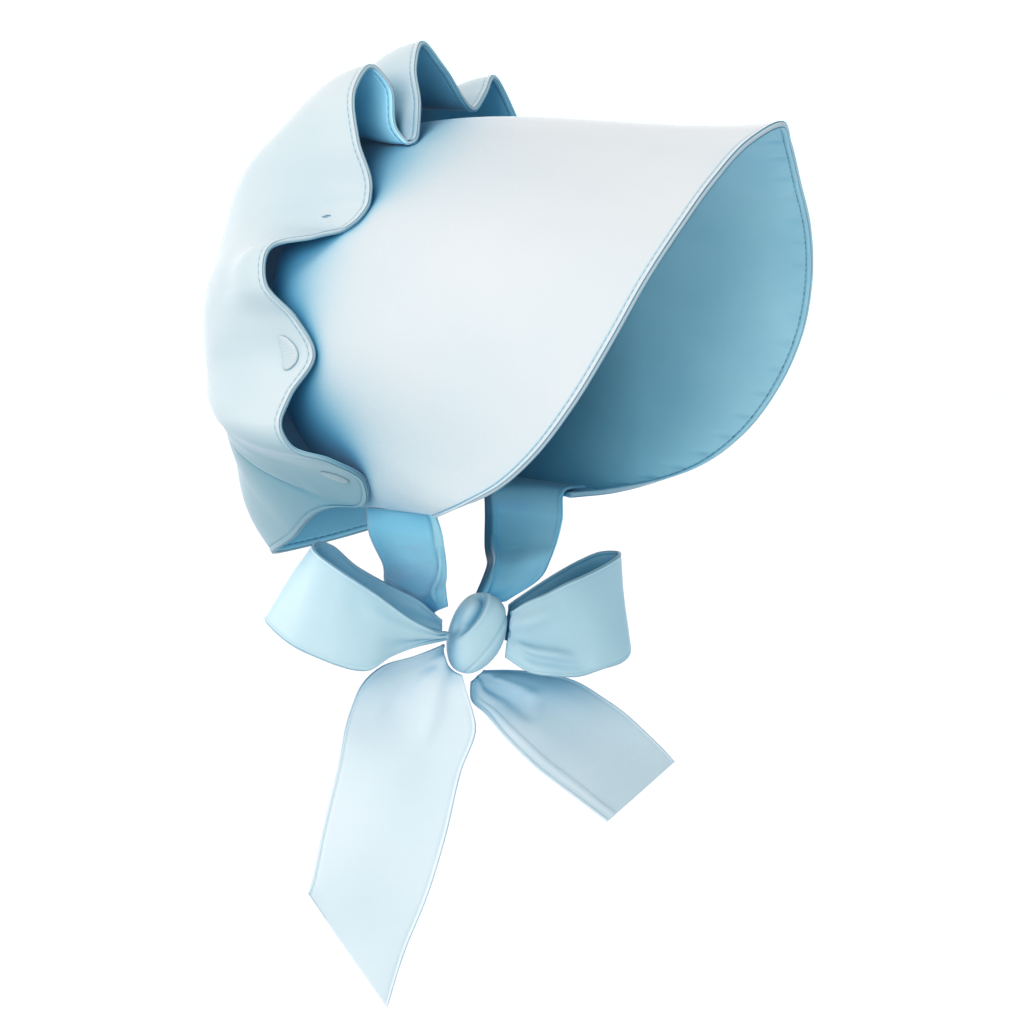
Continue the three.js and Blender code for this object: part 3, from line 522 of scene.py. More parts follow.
def grid_normals(grid, around, pole=None):
    if around:
        along = np.roll(grid, -1, 0) - np.roll(grid, 1, 0)
    else:
        along = np.gradient(grid, axis=0)
    deep = np.gradient(grid, axis=1)
    if pole is not None:
        deep[:, -1] = pole - grid[:, -2]
    return unit(np.cross(along, deep))


def rim_loop(ni, nj, around):
    if around:
        return [(i, 0) for i in range(ni)]
    return ([(i, 0) for i in range(ni)] + [(ni - 1, j) for j in range(1, nj)]
            + [(i, nj - 1) for i in range(ni - 2, -1, -1)] + [(0, j) for j in range(nj - 2, 0, -1)])


def cloth_shell(name, grid, half, uv, around=False, pole=None, materials=(), rim_steps=5, tucks=0):
    """Closed shell of cloth around a grid of middle points, with rounded rims; half is half its thickness.
    materials are the outer and the inner cloth."""
    ni, nj = grid.shape[:2]
    normal = grid_normals(grid, around, pole)
    loop = rim_loop(ni, nj, around)
    grid = grid.copy()
    outward = {}
    for i, j in loop:
        inner_i = i if around else min(max(i, 1), ni - 2)
        inner_j = min(max(j, 1), nj - 2)
        away = grid[i, j] - grid[inner_i, inner_j]
        away -= normal[i, j] * np.dot(away, normal[i, j])
        outward[i, j] = away / max(np.linalg.norm(away), 1e-9)
    for i, j in loop:
        grid[i, j] = grid[i, j] - outward[i, j] * half[i, j]
    outer = grid + normal * half[..., None]
    inner = grid - normal * (half + tucks)[..., None]
    verts = [outer.reshape(-1, 3), inner.reshape(-1, 3)]
    uvs = [uv.reshape(-1, 2), uv.reshape(-1, 2)]
    count = ni * nj
    index = np.arange(count).reshape(ni, nj)
    if around:
        index = np.concatenate([index, index[:1]])
    a, b, c, d = index[:-1, :-1], index[1:, :-1], index[1:, 1:], index[:-1, 1:]
    quads = np.stack([a, b, c, d], -1).reshape(-1, 4)
    faces = quads.tolist() + (quads[:, ::-1] + count).tolist()
    inner_faces = list(range(len(quads), 2 * len(quads)))
    total = 2 * count
    rings = [[i * nj + j for i, j in loop]]
    for k in range(1, rim_steps):
        phi = math.pi * k / rim_steps
        ring = [grid[p] + normal[p] * half[p] * math.cos(phi) + outward[p] * half[p] * math.sin(phi) for p in loop]
        verts.append(np.array(ring))
        uvs.append(np.array([uv[p] for p in loop]))
        rings.append(list(range(total, total + len(loop))))
        total += len(loop)
    rings.append([i * nj + j + count for i, j in loop])
    n = len(loop)
    for low, high in zip(rings[:-1], rings[1:]):
        for k in range(n):
            m = (k + 1) % n
            faces.append([low[m], low[k], high[k], high[m]])
    if pole is not None:
        facing = unit(normal[:, -1].mean(0)) * half[:, -1].mean()
        verts.append(np.array([pole + facing, pole - facing]))
        uvs.append(np.repeat(uv[:1, -1], 2, axis=0))
        last = index[:, -1]
        for i in range(ni):
            faces.append([int(last[i]), int(last[i + 1]), total])
            inner_faces.append(len(faces))
            faces.append([int(last[i + 1]) + count, int(last[i]) + count, total + 1])
    piece = make_object(name, np.concatenate(verts), faces, np.concatenate(uvs), materials[0])
    if len(materials) > 1:
        piece.data.materials.append(materials[1])
        slots = np.zeros(len(faces), np.int32)
        slots[inner_faces] = 1
        piece.data.polygons.foreach_set("material_index", slots)
    return piece


def make_object(name, verts_mm, faces, uv=None, material=None):
    mesh = bpy.data.meshes.new(name)
    mesh.from_pydata((np.asarray(verts_mm) * MM).tolist(), [], faces)
    if uv is not None:
        layer = mesh.uv_layers.new(name="cloth")
        corner = np.empty(len(mesh.loops), np.int32)
        mesh.loops.foreach_get("vertex_index", corner)
        layer.data.foreach_set("uv", (np.asarray(uv)[corner] * MM).ravel())
    bm = bmesh.new()
    bm.from_mesh(mesh)
    bmesh.ops.recalc_face_normals(bm, faces=bm.faces)
    bm.to_mesh(mesh)
    bm.free()
    mesh.shade_smooth()
    piece = bpy.data.objects.new(name, mesh)
    bpy.context.scene.collection.objects.link(piece)
    if material:
        mesh.materials.append(material)
    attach(piece, BODY)
    return piece


def hem_profile(distance, base, wide=HEM_WIDE, thicker=HEM_THICKER, dent=HEM_DENT):
    """Half thickness of cloth at a distance from its hemmed edge: a padded hem, a dent at the stitches, then plain."""
    puff = 1 - HEM_PUFF + HEM_PUFF * np.sin(np.pi * np.clip(distance / wide, 0, 1))
    hem = thicker * puff * (1 - smooth_step((distance - wide) / HEM_FALL + 1))
    stitch = dent * np.exp(-((distance - wide) / DENT_WIDE) ** 2)
    return base + 0.5 * hem - 0.5 * stitch


def stitch_row(name, points, normals, pitch, long, thick):
    """A row of short threads along a line of points on the cloth."""
    run = lengths(points)
    count = int(run[-1] / pitch)
    verts, faces = [], []

    def between(values, at):
        return np.array([np.interp(at, run, values[:, c]) for c in range(3)])

    for k in range(count):
        middle = (k + 0.5) * run[-1] / count
        start = len(verts)
        for share, size in STITCH_RINGS:
            at = middle + share * long
            p = between(points, at)
            n = unit(between(normals, at))
            aside = unit(np.cross(n, unit(between(points, at + STITCH_AHEAD) - between(points, at - STITCH_AHEAD))))
            for m in range(STITCH_SIDES):
                phi = 2 * math.pi * m / STITCH_SIDES
                rise = math.sin(phi) * STITCH_FLAT + STITCH_UP - STITCH_SINK * (1 - size)
                verts.append(p + (aside * math.cos(phi) + n * rise) * thick * 0.5 * size)
        for ring in range(len(STITCH_RINGS) - 1):
            for m in range(STITCH_SIDES):
                a = start + ring * STITCH_SIDES + m
                b = start + ring * STITCH_SIDES + (m + 1) % STITCH_SIDES
                faces.append([a, b, b + STITCH_SIDES, a + STITCH_SIDES])
        faces.append([start + m for m in range(STITCH_SIDES)][::-1])
        faces.append([start + (len(STITCH_RINGS) - 1) * STITCH_SIDES + m for m in range(STITCH_SIDES)])
    return make_object(name, np.array(verts), faces, None, THREAD)


def sew_hem(name, grid, normal, half, order):
    """The stitches beside a hem on both faces of the cloth, in the order of its rows."""
    row = HEM_ROWS.index(HEM_WIDE)
    stitches = []
    for face, sign in (("outside", 1), ("inside", -1)):
        points = grid[:, row] + sign * normal[:, row] * half[:, row, None]
        stitches.append(stitch_row(name + "_stitches_" + face, points[order], sign * normal[order, row], **STITCH))
    return stitches


# materials

# painted shade: how the colour of a piece deepens with its place, where less light reaches it: along an axis, from one
# place to the other in metres
PAINTED_SHADE_DEEP_IN_BRIM = dict(of="Object", axis="Y", start=-0.12, end=0.04, steps=[
    (0, (1, 1, 1)), (0.50, (0.74, 0.85, 0.88)), (0.8, (0.16, 0.30, 0.38)), (1, (0.04, 0.08, 0.12))])
# painted shade on the crown's lower part, which faces down away from the light
PAINTED_SHADE_LOW_ON_CROWN = dict(of="Object", axis="Z", start=-0.150, end=-0.170, steps=[
    (0, (1, 1, 1)), (1, (0.37, 0.60, 0.66))])
# painted shade on the crown's lining, deepening to near black in the hollow of the hood
PAINTED_SHADE_DEEP_IN_CROWN = dict(of="UV", axis="Y", start=0.0, end=0.09, steps=[
    (0.0, (1, 1, 1)), (0.40, (0.42, 0.60, 0.68)), (0.62, (0.07, 0.12, 0.18)), (1, (0.03, 0.06, 0.10))])
SHADE_ON_STRAP_RIGHT = dict(of="UV", axis="Y", start=0.0, end=0.045, steps=[
    (0.0, (0.52, 0.72, 0.80)), (0.80, (0.50, 0.72, 0.82)), (0.86, (1, 1, 1))])
# painted shade where the strap runs up inside the brim's rim
PAINTED_SHADE_INSIDE_RIM = dict(of="UV", axis="X", start=0.004, end=0.022, steps=[(0, (0.20, 0.30, 0.38)), (1, (1, 1, 1))])
SHADE_ON_STRAP_LEFT = dict(of="UV", axis="Y", start=0.0, end=0.045, steps=[
    (0.0, (0.10, 0.20, 0.28)), (0.22, (0.13, 0.24, 0.32)), (0.34, (0.56, 0.75, 0.84)), (1, (0.85, 0.95, 1.0))])
# painted shade: how the colour deepens where folds and neighbours close it in, taken from ambient occlusion: share of
# open space and colour
PAINTED_SHADE_CLOSED_IN = [(0.05, (0.01, 0.05, 0.12)), (0.40, (0.14, 0.52, 0.76)), (0.97, (1, 1, 1))]
# painted shadow on the brim where the ruffle overhangs it, stronger and reaching further
BRIM_PAINTED_SHADE_CLOSED_IN = [(0.10, (0.02, 0.17, 0.33)), (0.50, (0.07, 0.44, 0.74)), (0.80, (0.36, 0.76, 0.94)),
                  (0.985, (1, 1, 1))]
LINING_PAINTED_SHADE_CLOSED_IN = [(0.02, (0.14, 0.36, 0.50)), (0.40, (0.52, 0.80, 0.92)), (0.97, (1, 1, 1))]
PAINTED_SHADE_REACH = 0.085
PAINTED_SHADE_SAMPLES = 6
# constants of the shader for cloth and for thread
SATEEN = {"Specular IOR Level": 0.35, "Sheen Weight": 0.35, "Sheen Roughness": 0.45,
          "Sheen Tint": (0.86, 0.95, 1.0, 1.0)}
TWISTED = {"Roughness": 0.5, "Sheen Weight": 0.2}
THREAD_DEEP = 0.8
# mottling: the shares of the noise that have the deep and the light colour
MOTTLE_DEEP = 0.32
MOTTLE_LIGHT = 0.68
# threads 0.5 mm apart, as the wave texture counts its bands, and how much they darken the colour
WEAVE_SCALE = 2 * math.pi / (20 * 0.5 * MM)
WEAVE_DARKER = 0.12


def add_node(nodes, kind, values=(), **settings):
    """A shader node with its settings and the constants on its sockets."""
    made = nodes.new("ShaderNode" + kind)
    for key, value in settings.items():
        setattr(made, key, value)
    for key, value in dict(values).items():
        made.inputs[key].default_value = value
    return made


def new_material(name, values):
    material = bpy.data.materials.new(name)
    material.use_nodes = True
    shader = material.node_tree.nodes["Principled BSDF"]
    for key, value in values.items():
        shader.inputs[key].default_value = value
    return material, material.node_tree.nodes, material.node_tree.links.new, shader


def colour_ramp(nodes, steps):
    ramp = nodes.new("ShaderNodeValToRGB")
    stops = ramp.color_ramp.elements
    while len(stops) < len(steps):
        stops.new(0.5)
    for stop, (place, colour) in zip(stops, steps):
        stop.position = place
    for stop, (place, colour) in zip(stops, steps):
        stop.color = (*colour, 1)
    return ramp


def multiplied(nodes, link, first, second, share=1.0):
    mix = add_node(nodes, "Mix", data_type="RGBA", blend_type="MULTIPLY")
    mix.inputs["Factor"].default_value = share
    link(first, mix.inputs["A"])
    link(second, mix.inputs["B"])
    return mix.outputs["Result"]


def cloth_material(name, light, deep, roughness=0.62, wrinkle=0.35, gradients=(), mottling=14.0,
                   painted_shade_closed_in=PAINTED_SHADE_CLOSED_IN, reach=PAINTED_SHADE_REACH):
    """Smooth sateen: fine crossing threads, soft mottling of the colour, a low sheen and faint wrinkles; painted shade
    where folds and neighbours close it in, and along the given gradients.
    """
    material, nodes, link, shader = new_material(name, SATEEN)
    place = add_node(nodes, "TexCoord")
    mottle = add_node(nodes, "TexNoise", dict(Scale=mottling, Detail=4.0))
    link(place.outputs["Object"], mottle.inputs["Vector"])
    tint = colour_ramp(nodes, [(MOTTLE_DEEP, deep), (MOTTLE_LIGHT, light)])
    link(mottle.outputs["Fac"], tint.inputs["Fac"])

    weave = add_node(nodes, "Math", operation="MAXIMUM")
    for socket, direction in enumerate(("X", "Y")):
        wave = add_node(nodes, "TexWave", dict(Scale=WEAVE_SCALE, Distortion=0.6, Detail=1.0),
                        wave_type="BANDS", bands_direction=direction)
        link(place.outputs["UV"], wave.inputs["Vector"])
        link(wave.outputs["Fac"], weave.inputs[socket])

    # painted shade: ambient occlusion darkens the base colour in folds and between pieces
    closed = add_node(nodes, "AmbientOcclusion", dict(Distance=reach), samples=PAINTED_SHADE_SAMPLES)
    shadow = colour_ramp(nodes, painted_shade_closed_in)
    link(closed.outputs["AO"], shadow.inputs["Fac"])
    colour = multiplied(nodes, link, tint.outputs["Color"], shadow.outputs["Color"])
    # painted shade along each gradient of place
    for darker in gradients:
        parts = add_node(nodes, "SeparateXYZ")
        link(place.outputs[darker["of"]], parts.inputs["Vector"])
        along = add_node(nodes, "MapRange", {"From Min": darker["start"], "From Max": darker["end"]})
        link(parts.outputs[darker["axis"]], along.inputs["Value"])
        ramp = colour_ramp(nodes, darker["steps"])
        link(along.outputs["Result"], ramp.inputs["Fac"])
        colour = multiplied(nodes, link, colour, ramp.outputs["Color"])
    colour = multiplied(nodes, link, colour, weave.outputs["Value"], WEAVE_DARKER)
    link(colour, shader.inputs["Base Color"])

    rough = add_node(nodes, "MapRange", {"To Min": roughness - 0.07, "To Max": roughness + 0.08})
    link(mottle.outputs["Fac"], rough.inputs["Value"])
    link(rough.outputs["Result"], shader.inputs["Roughness"])

    crumple = add_node(nodes, "TexNoise", dict(Scale=30.0, Detail=3.0, Roughness=0.45))
    link(place.outputs["Object"], crumple.inputs["Vector"])
    low = add_node(nodes, "Bump", dict(Strength=wrinkle, Distance=0.0012))
    link(crumple.outputs["Fac"], low.inputs["Height"])
    fine = add_node(nodes, "Bump", dict(Strength=0.25, Distance=0.00006))
    link(weave.outputs["Value"], fine.inputs["Height"])
    link(low.outputs["Normal"], fine.inputs["Normal"])
    link(fine.outputs["Normal"], shader.inputs["Normal"])
    return material


def thread_material(name, colour):
    """Sewing thread: fine slanting twist and a soft gloss."""
    material, nodes, link, shader = new_material(name, TWISTED)
    place = add_node(nodes, "TexCoord")
    twist = add_node(nodes, "TexWave", dict(Scale=900.0), bands_direction="DIAGONAL")
    link(place.outputs["Object"], twist.inputs["Vector"])
    tone = colour_ramp(nodes, [(0, [THREAD_DEEP * c for c in colour]), (1, colour)])
    link(twist.outputs["Fac"], tone.inputs["Fac"])
    link(tone.outputs["Color"], shader.inputs["Base Color"])
    bump = add_node(nodes, "Bump", dict(Strength=0.4, Distance=0.00005))
    link(twist.outputs["Fac"], bump.inputs["Height"])
    link(bump.outputs["Normal"], shader.inputs["Normal"])
    return material


BRIM_CLOTH = cloth_material("brim_cloth", (0.385, 0.465, 0.485), (0.36, 0.455, 0.48), roughness=0.58,
                            wrinkle=0.1, painted_shade_closed_in=BRIM_PAINTED_SHADE_CLOSED_IN, reach=0.13)
# the lining is the same cloth as the outside, given a more saturated blue as painted shade, and deepening towards the
# back with painted shade
BRIM_LINING_PAINTED_SHADE = cloth_material("brim_lining_painted_shade", (0.37, 0.66, 0.75), (0.25, 0.53, 0.63), wrinkle=0.3,
                             gradients=[PAINTED_SHADE_DEEP_IN_BRIM], mottling=9.0)
CROWN_CLOTH = cloth_material("crown_cloth", (0.355, 0.46, 0.485), (0.325, 0.445, 0.475), roughness=0.6,
                             wrinkle=0.25, gradients=[PAINTED_SHADE_LOW_ON_CROWN])
# the lining is the same cloth as the outside, given a brighter, more saturated blue as a painted glow of light through
# the thin folds, with painted shade deeper in the hollow
CROWN_LINING_PAINTED_GLOW_AND_SHADE = cloth_material("crown_lining_painted_glow_and_shade", (0.46, 0.83, 0.96), (0.40, 0.79, 0.95), wrinkle=0.25,
                              gradients=[PAINTED_SHADE_DEEP_IN_CROWN], painted_shade_closed_in=LINING_PAINTED_SHADE_CLOSED_IN)
RIBBON_CLOTH = cloth_material("ribbon_cloth", (0.355, 0.525, 0.57), (0.315, 0.495, 0.55), roughness=0.56,
                              wrinkle=0.2)
# painted light: the tails are the same ribbon as the loops, coloured lighter where the light falls on them
TAIL_CLOTH_PAINTED_LIGHT = cloth_material("tail_cloth", (0.55, 0.655, 0.675), (0.51, 0.635, 0.665), roughness=0.56,
                            wrinkle=0.2)
# a copy of the ribbon cloth coloured for the shade the strap hangs in, with painted shade over most of its width
STRAP_RIGHT_CLOTH_PAINTED_SHADE = cloth_material("strap_right_cloth", (0.33, 0.62, 0.69), (0.29, 0.58, 0.66), roughness=0.58,
                                   wrinkle=0.2, gradients=[SHADE_ON_STRAP_RIGHT])
# a copy of the ribbon cloth coloured for how the light falls on the strap, with painted shade along one side and up
# inside the rim
STRAP_LEFT_CLOTH_PAINTED_SHADE = cloth_material("strap_left_cloth", (0.46, 0.79, 0.87), (0.41, 0.75, 0.84), roughness=0.58,
                                  wrinkle=0.2, gradients=[SHADE_ON_STRAP_LEFT, PAINTED_SHADE_INSIDE_RIM])
THREAD = thread_material("thread", (0.07, 0.20, 0.28))
PAD_THREADS = dict(light=thread_material("pale_thread", (0.33, 0.445, 0.475)),
                   shaded=thread_material("shaded_thread", (0.20, 0.32, 0.36)))


# the brim's piece

def build_brim():
    sides = np.linspace(-1, 1, BRIM_ROWS_AROUND + 1)
    fine = np.linspace(0, 1, BRIM_FINE)
    near = np.array(HEM_ROWS, float)
    rest = BRIM_ROWS_DEEP - len(near)
    depth = np.empty((len(sides), BRIM_ROWS_DEEP))
    distance = np.empty_like(depth)
    for i, side in enumerate(sides):
        line = brim_middle(side, 1 - fine)
        run = lengths(line)
        share = np.arange(1, rest + 1) / rest
        want = np.concatenate([near, near[-1] + (run[-1] - near[-1]) * share])
        distance[i] = want
        depth[i] = 1 - np.interp(want, run, fine)
    grid = brim_middle(sides[:, None], depth)
    half = hem_profile(distance, BRIM_THICK / 2)
    along = lengths(front_edge(sides))
    uv = np.stack([np.broadcast_to(along[:, None], distance.shape), distance], -1)
    tucks = np.maximum(0, np.cos(2 * math.pi * along / TUCK_PITCH))[:, None] ** TUCK_SHARP
    tucks = -TUCK_DEEP * tucks * np.exp(-((distance - TUCK_FROM_EDGE) / TUCK_LONG) ** 2)
    brim = cloth_shell("brim_cloth", grid, half, uv, materials=(BRIM_CLOTH, BRIM_LINING_PAINTED_SHADE), tucks=tucks)
    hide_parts("brim")
    stitches = sew_hem("brim", grid, grid_normals(grid, False), half, np.arange(len(grid)))
    return brim


# the crown's piece, its pads and tacks

def build_crown():
    grid, places, row_places, step = crown_grid(CROWN_ROWS_AROUND, CROWN_ROWS_DEEP)
    half = hem_profile(places, CROWN_THICK / 2)
    pole = np.array([POLE["x"], -POLE["f"], POLE["z"]], float)
    along = step * np.arange(CROWN_ROWS_AROUND)
    uv = np.stack([np.broadcast_to(along[:, None], places.shape), places], -1)
    crown = cloth_shell("crown_cloth", grid, half, uv, around=True, pole=pole, materials=(CROWN_CLOTH, CROWN_LINING_PAINTED_GLOW_AND_SHADE))
    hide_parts("crown")
    normal = grid_normals(grid, True, pole)
    stitches = sew_hem("crown", grid, normal, half, np.arange(len(grid) + 1) % len(grid))
    return dict(grid=grid, normal=normal, places=places, rows=row_places, step=step)


def crown_at(surface, place, behind):
    """Middle of the crown's cloth and its outward direction, at a place along the edge and so far behind it."""
    grid, normal, places = surface["grid"], surface["normal"], surface["places"]
    n = len(grid)
    i = int(math.floor(place))
    t = place - i
    found, facing = np.zeros(3), np.zeros(3)
    for index, share in ((i % n, 1 - t), ((i + 1) % n, t)):
        found += share * np.array([np.interp(behind, places[index], grid[index, :, c]) for c in range(3)])
        facing += share * np.array([np.interp(behind, places[index], normal[index, :, c]) for c in range(3)])
    return found, unit(facing)


def build_tack(surface, tack):
    """A few threads that catch the ruffle to the brim, sewn through from the outside."""
    points, normals = [], []
    for along, back in TACK_ZIGZAG:
        place = surface["rows"][tack["edge"]] + along / surface["step"]
        p, facing = crown_at(surface, place, tack["behind"] + back)
        points.append(p + facing * (CROWN_THICK / 2 + TACK_UP))
        normals.append(facing)
    piece = stitch_row(tack["name"], np.array(points), np.array(normals), **TACK)
    return piece


def build_pad(surface, pad):
    """Oval of satin stitch: a low dome with a ridge for each thread across it."""
    middle = surface["rows"][pad["edge"]]
    under = CROWN_THICK / 2 + PAD_UNDER
    turn = math.radians(pad["turn"])
    rings, around = PAD_RINGS, PAD_AROUND
    verts, faces = [], []

    def put(r, phi, height):
        l, w = pad["long"] * r * math.cos(phi), pad["wide"] * r * math.sin(phi)
        back = l * math.cos(turn) - w * math.sin(turn)
        along = l * math.sin(turn) + w * math.cos(turn)
        p, facing = crown_at(surface, middle + along / surface["step"], pad["behind"] + back)
        ridge = PAD_RIDGE * abs(math.cos(math.pi * PAD_THREAD_COUNT * r * math.cos(phi) / 2)) if height > 0 else 0
        verts.append(p + facing * (under + height + ridge))

    put(0, 0, PAD_RISE)
    for k in range(1, rings + 1):
        r = k / rings
        height = PAD_RIM + (PAD_RISE - PAD_RIM) * math.sqrt(max(0, 1 - r ** PAD_ROUND))
        for m in range(around):
            put(r, 2 * math.pi * m / around, height)
    for m in range(around):
        put(1, 2 * math.pi * m / around, 0)
    put(0, 0, 0)
    for m in range(around):
        faces.append([0, 1 + m, 1 + (m + 1) % around])
        for k in range(rings):
            a, b = 1 + k * around + m, 1 + k * around + (m + 1) % around
            faces.append([a, a + around, b + around, b])
        last = 1 + rings * around
        faces.append([last + m, len(verts) - 1, last + (m + 1) % around])
    piece = make_object(pad["name"] + "_stitched", np.array(verts), faces, None, PAD_THREADS[pad["tone"]])
    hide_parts(pad["name"])
    return piece


# the bow

BOW_C, BOW_S = math.cos(math.radians(BOW_TURN)), math.sin(math.radians(BOW_TURN))
BOW_ACROSS = np.array([BOW_C, BOW_S, 0])
BOW_OUT = np.array([BOW_S, -BOW_C, 0])
BOW_UP = np.array([0.0, 0.0, 1.0])
KNOT_MIDDLE = np.array([KNOT_AT["x"], -KNOT_AT["f"], KNOT_AT["z"]], float)
KNOT_C, KNOT_S = math.cos(math.radians(KNOT["tilt"])), math.sin(math.radians(KNOT["tilt"]))


def bow_point(a, u, o):
    a, u, o = (np.asarray(v, float)[..., None] for v in (a, u, o))
    return KNOT_MIDDLE + BOW_ACROSS * a + BOW_UP * u + BOW_OUT * o


def knot_local(p):
    d = p - bow_point(KNOT["a"], KNOT["u"], KNOT["o"])
    a, u = d @ BOW_ACROSS, d @ BOW_UP
    return np.stack([a * KNOT_C - u * KNOT_S, a * KNOT_S + u * KNOT_C, d @ BOW_OUT], -1)


def knot_point(local):
    p, q, o = local[..., 0], local[..., 1], local[..., 2]
    return bow_point(KNOT["a"] + p * KNOT_C + q * KNOT_S, KNOT["u"] - p * KNOT_S + q * KNOT_C, KNOT["o"] + o)


def knot_share(local, margin):
    sizes = np.array([KNOT["half"], KNOT["tall"], KNOT["deep"]]) + margin
    return (np.abs(local / sizes) ** KNOT["square"]).sum(-1) ** (1 / KNOT["square"])


def clear_of_knot(points, margin):
    """Moves points that lie in the knot, or nearer to it than the margin, straight out from its middle."""
    local = knot_local(points)
    share = knot_share(local, margin)[..., None]
    return np.where(share >= 1, points, knot_point(local / share))


def ribbon_grid(rows):
    """Fine grid along a ribbon from its cross rows."""
    rows = np.array([np.asarray(row, float) for row in rows])
    xs = lengths(rows.reshape(len(rows), -1))
    line = spline(xs, rows.reshape(len(rows), -1))(np.linspace(0, xs[-1], RIBBON_ALONG + 1))
    line = line.reshape(RIBBON_ALONG + 1, -1, 3)
    own = np.linspace(0, 1, line.shape[1])
    width = np.linalg.norm(line[:, -1] - line[:, 0], axis=-1).max()
    hem = np.array(RIBBON_HEM_ROWS) / width
    middle = np.linspace(hem[-1], 1 - hem[-1], RIBBON_ACROSS)[1:-1]
    across = np.concatenate([hem, middle, 1 - hem[::-1]])
    grid = spline(own, line.transpose(1, 0, 2).reshape(len(own), -1))(across)
    return grid.reshape(len(across), RIBBON_ALONG + 1, 3).transpose(1, 0, 2), across, width


def shape_ribbon(grid, across, ends, pleats, pleat_deep, creases):
    """Pleats that fade away from each end at the knot, and single creases, raised along the cloth's normal."""
    normal = grid_normals(grid, False)
    run = lengths(grid[:, grid.shape[1] // 2])
    lift = np.zeros(grid.shape[:2])
    for end in ends:
        far = run if end == 0 else run[-1] - run
        near = np.exp(-far / PLEAT_FADE) * (1 - np.exp(-far / PLEAT_START)) * (1 if end == 0 else -1)
        lift += pleat_deep * near[:, None] * np.cos(2 * math.pi * pleats * across)[None]
    share = run / run[-1]
    for wave in RIBBON_WAVES:
        turns = wave["long"] * share[:, None] + wave["wide"] * across[None]
        lift += wave["high"] * np.sin(2 * math.pi * turns + wave["start"])
    for crease in creases:
        s = np.clip((share - crease["s0"]) / (crease["s1"] - crease["s0"]), 0, 1)
        at = crease["t0"] + (crease["t1"] - crease["t0"]) * s
        inside = smooth_step((share - crease["s0"]) / CREASE_START) * smooth_step((crease["s1"] - share) / CREASE_END)
        lift += crease["deep"] * inside[:, None] * np.exp(-((across[None] - at[:, None]) / crease["wide"]) ** 2)
    return grid + normal * lift[..., None]


def build_ribbon(node, rows, ends, material, pleats, pleat_deep, creases):
    """A ribbon's piece and its grid; ends are those at the knot, 0 for the first row and 1 for the last."""
    grid, across, width = ribbon_grid(rows)
    grid = clear_of_knot(shape_ribbon(grid, across, ends, pleats, pleat_deep, creases), KNOT_ROOM)
    edge = np.minimum(across, 1 - across)[None] * np.linalg.norm(grid[:, -1] - grid[:, 0], axis=-1)[:, None]
    half = hem_profile(edge, RIBBON_THICK / 2, **RIBBON_HEM)
    run = lengths(grid[:, grid.shape[1] // 2])
    uv = np.stack([np.broadcast_to(run[:, None], edge.shape), np.broadcast_to(across * width, edge.shape)], -1)
    piece = cloth_shell(node + "_cloth", grid, half, uv, materials=(material,), rim_steps=4)
    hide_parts(node)
    return piece, grid


def bow_rows(table):
    """Cross rows of a loop or tail, each straight from its one edge (0) to the other (1)."""
    t = np.linspace(0, 1, ROW_POINTS)
    return [bow_point(*(r[c + "0"] + (r[c + "1"] - r[c + "0"]) * t for c in "auo")) for r in table]


def strap_rows(table, side_sign, crease_at):
    """Cross rows of a strap: two along the inside of the brim, then those below its rim."""
    inset = BRIM_THICK / 2 + RIBBON_THICK / 2 + GAP + STRAP_ROOM
    places = np.array([0, crease_at / 2, crease_at, (1 + crease_at) / 2, 1])
    depth = STRAP_BACK + (STRAP_FRONT - STRAP_BACK) * places
    rows = []
    for side in (side_sign * (1 - STRAP_UP), side_sign):
        rows.append(brim_middle(side, depth) - brim_outward(np.full(ROW_POINTS, float(side)), depth) * inset)
    for r in table:
        back, crease, front = (np.array([r["x%d" % k], -r["f%d" % k], r["z%d" % k]], float) for k in range(3))
        rows.append(np.array([back, (back + crease) / 2, crease, (crease + front) / 2, front]))
    return rows


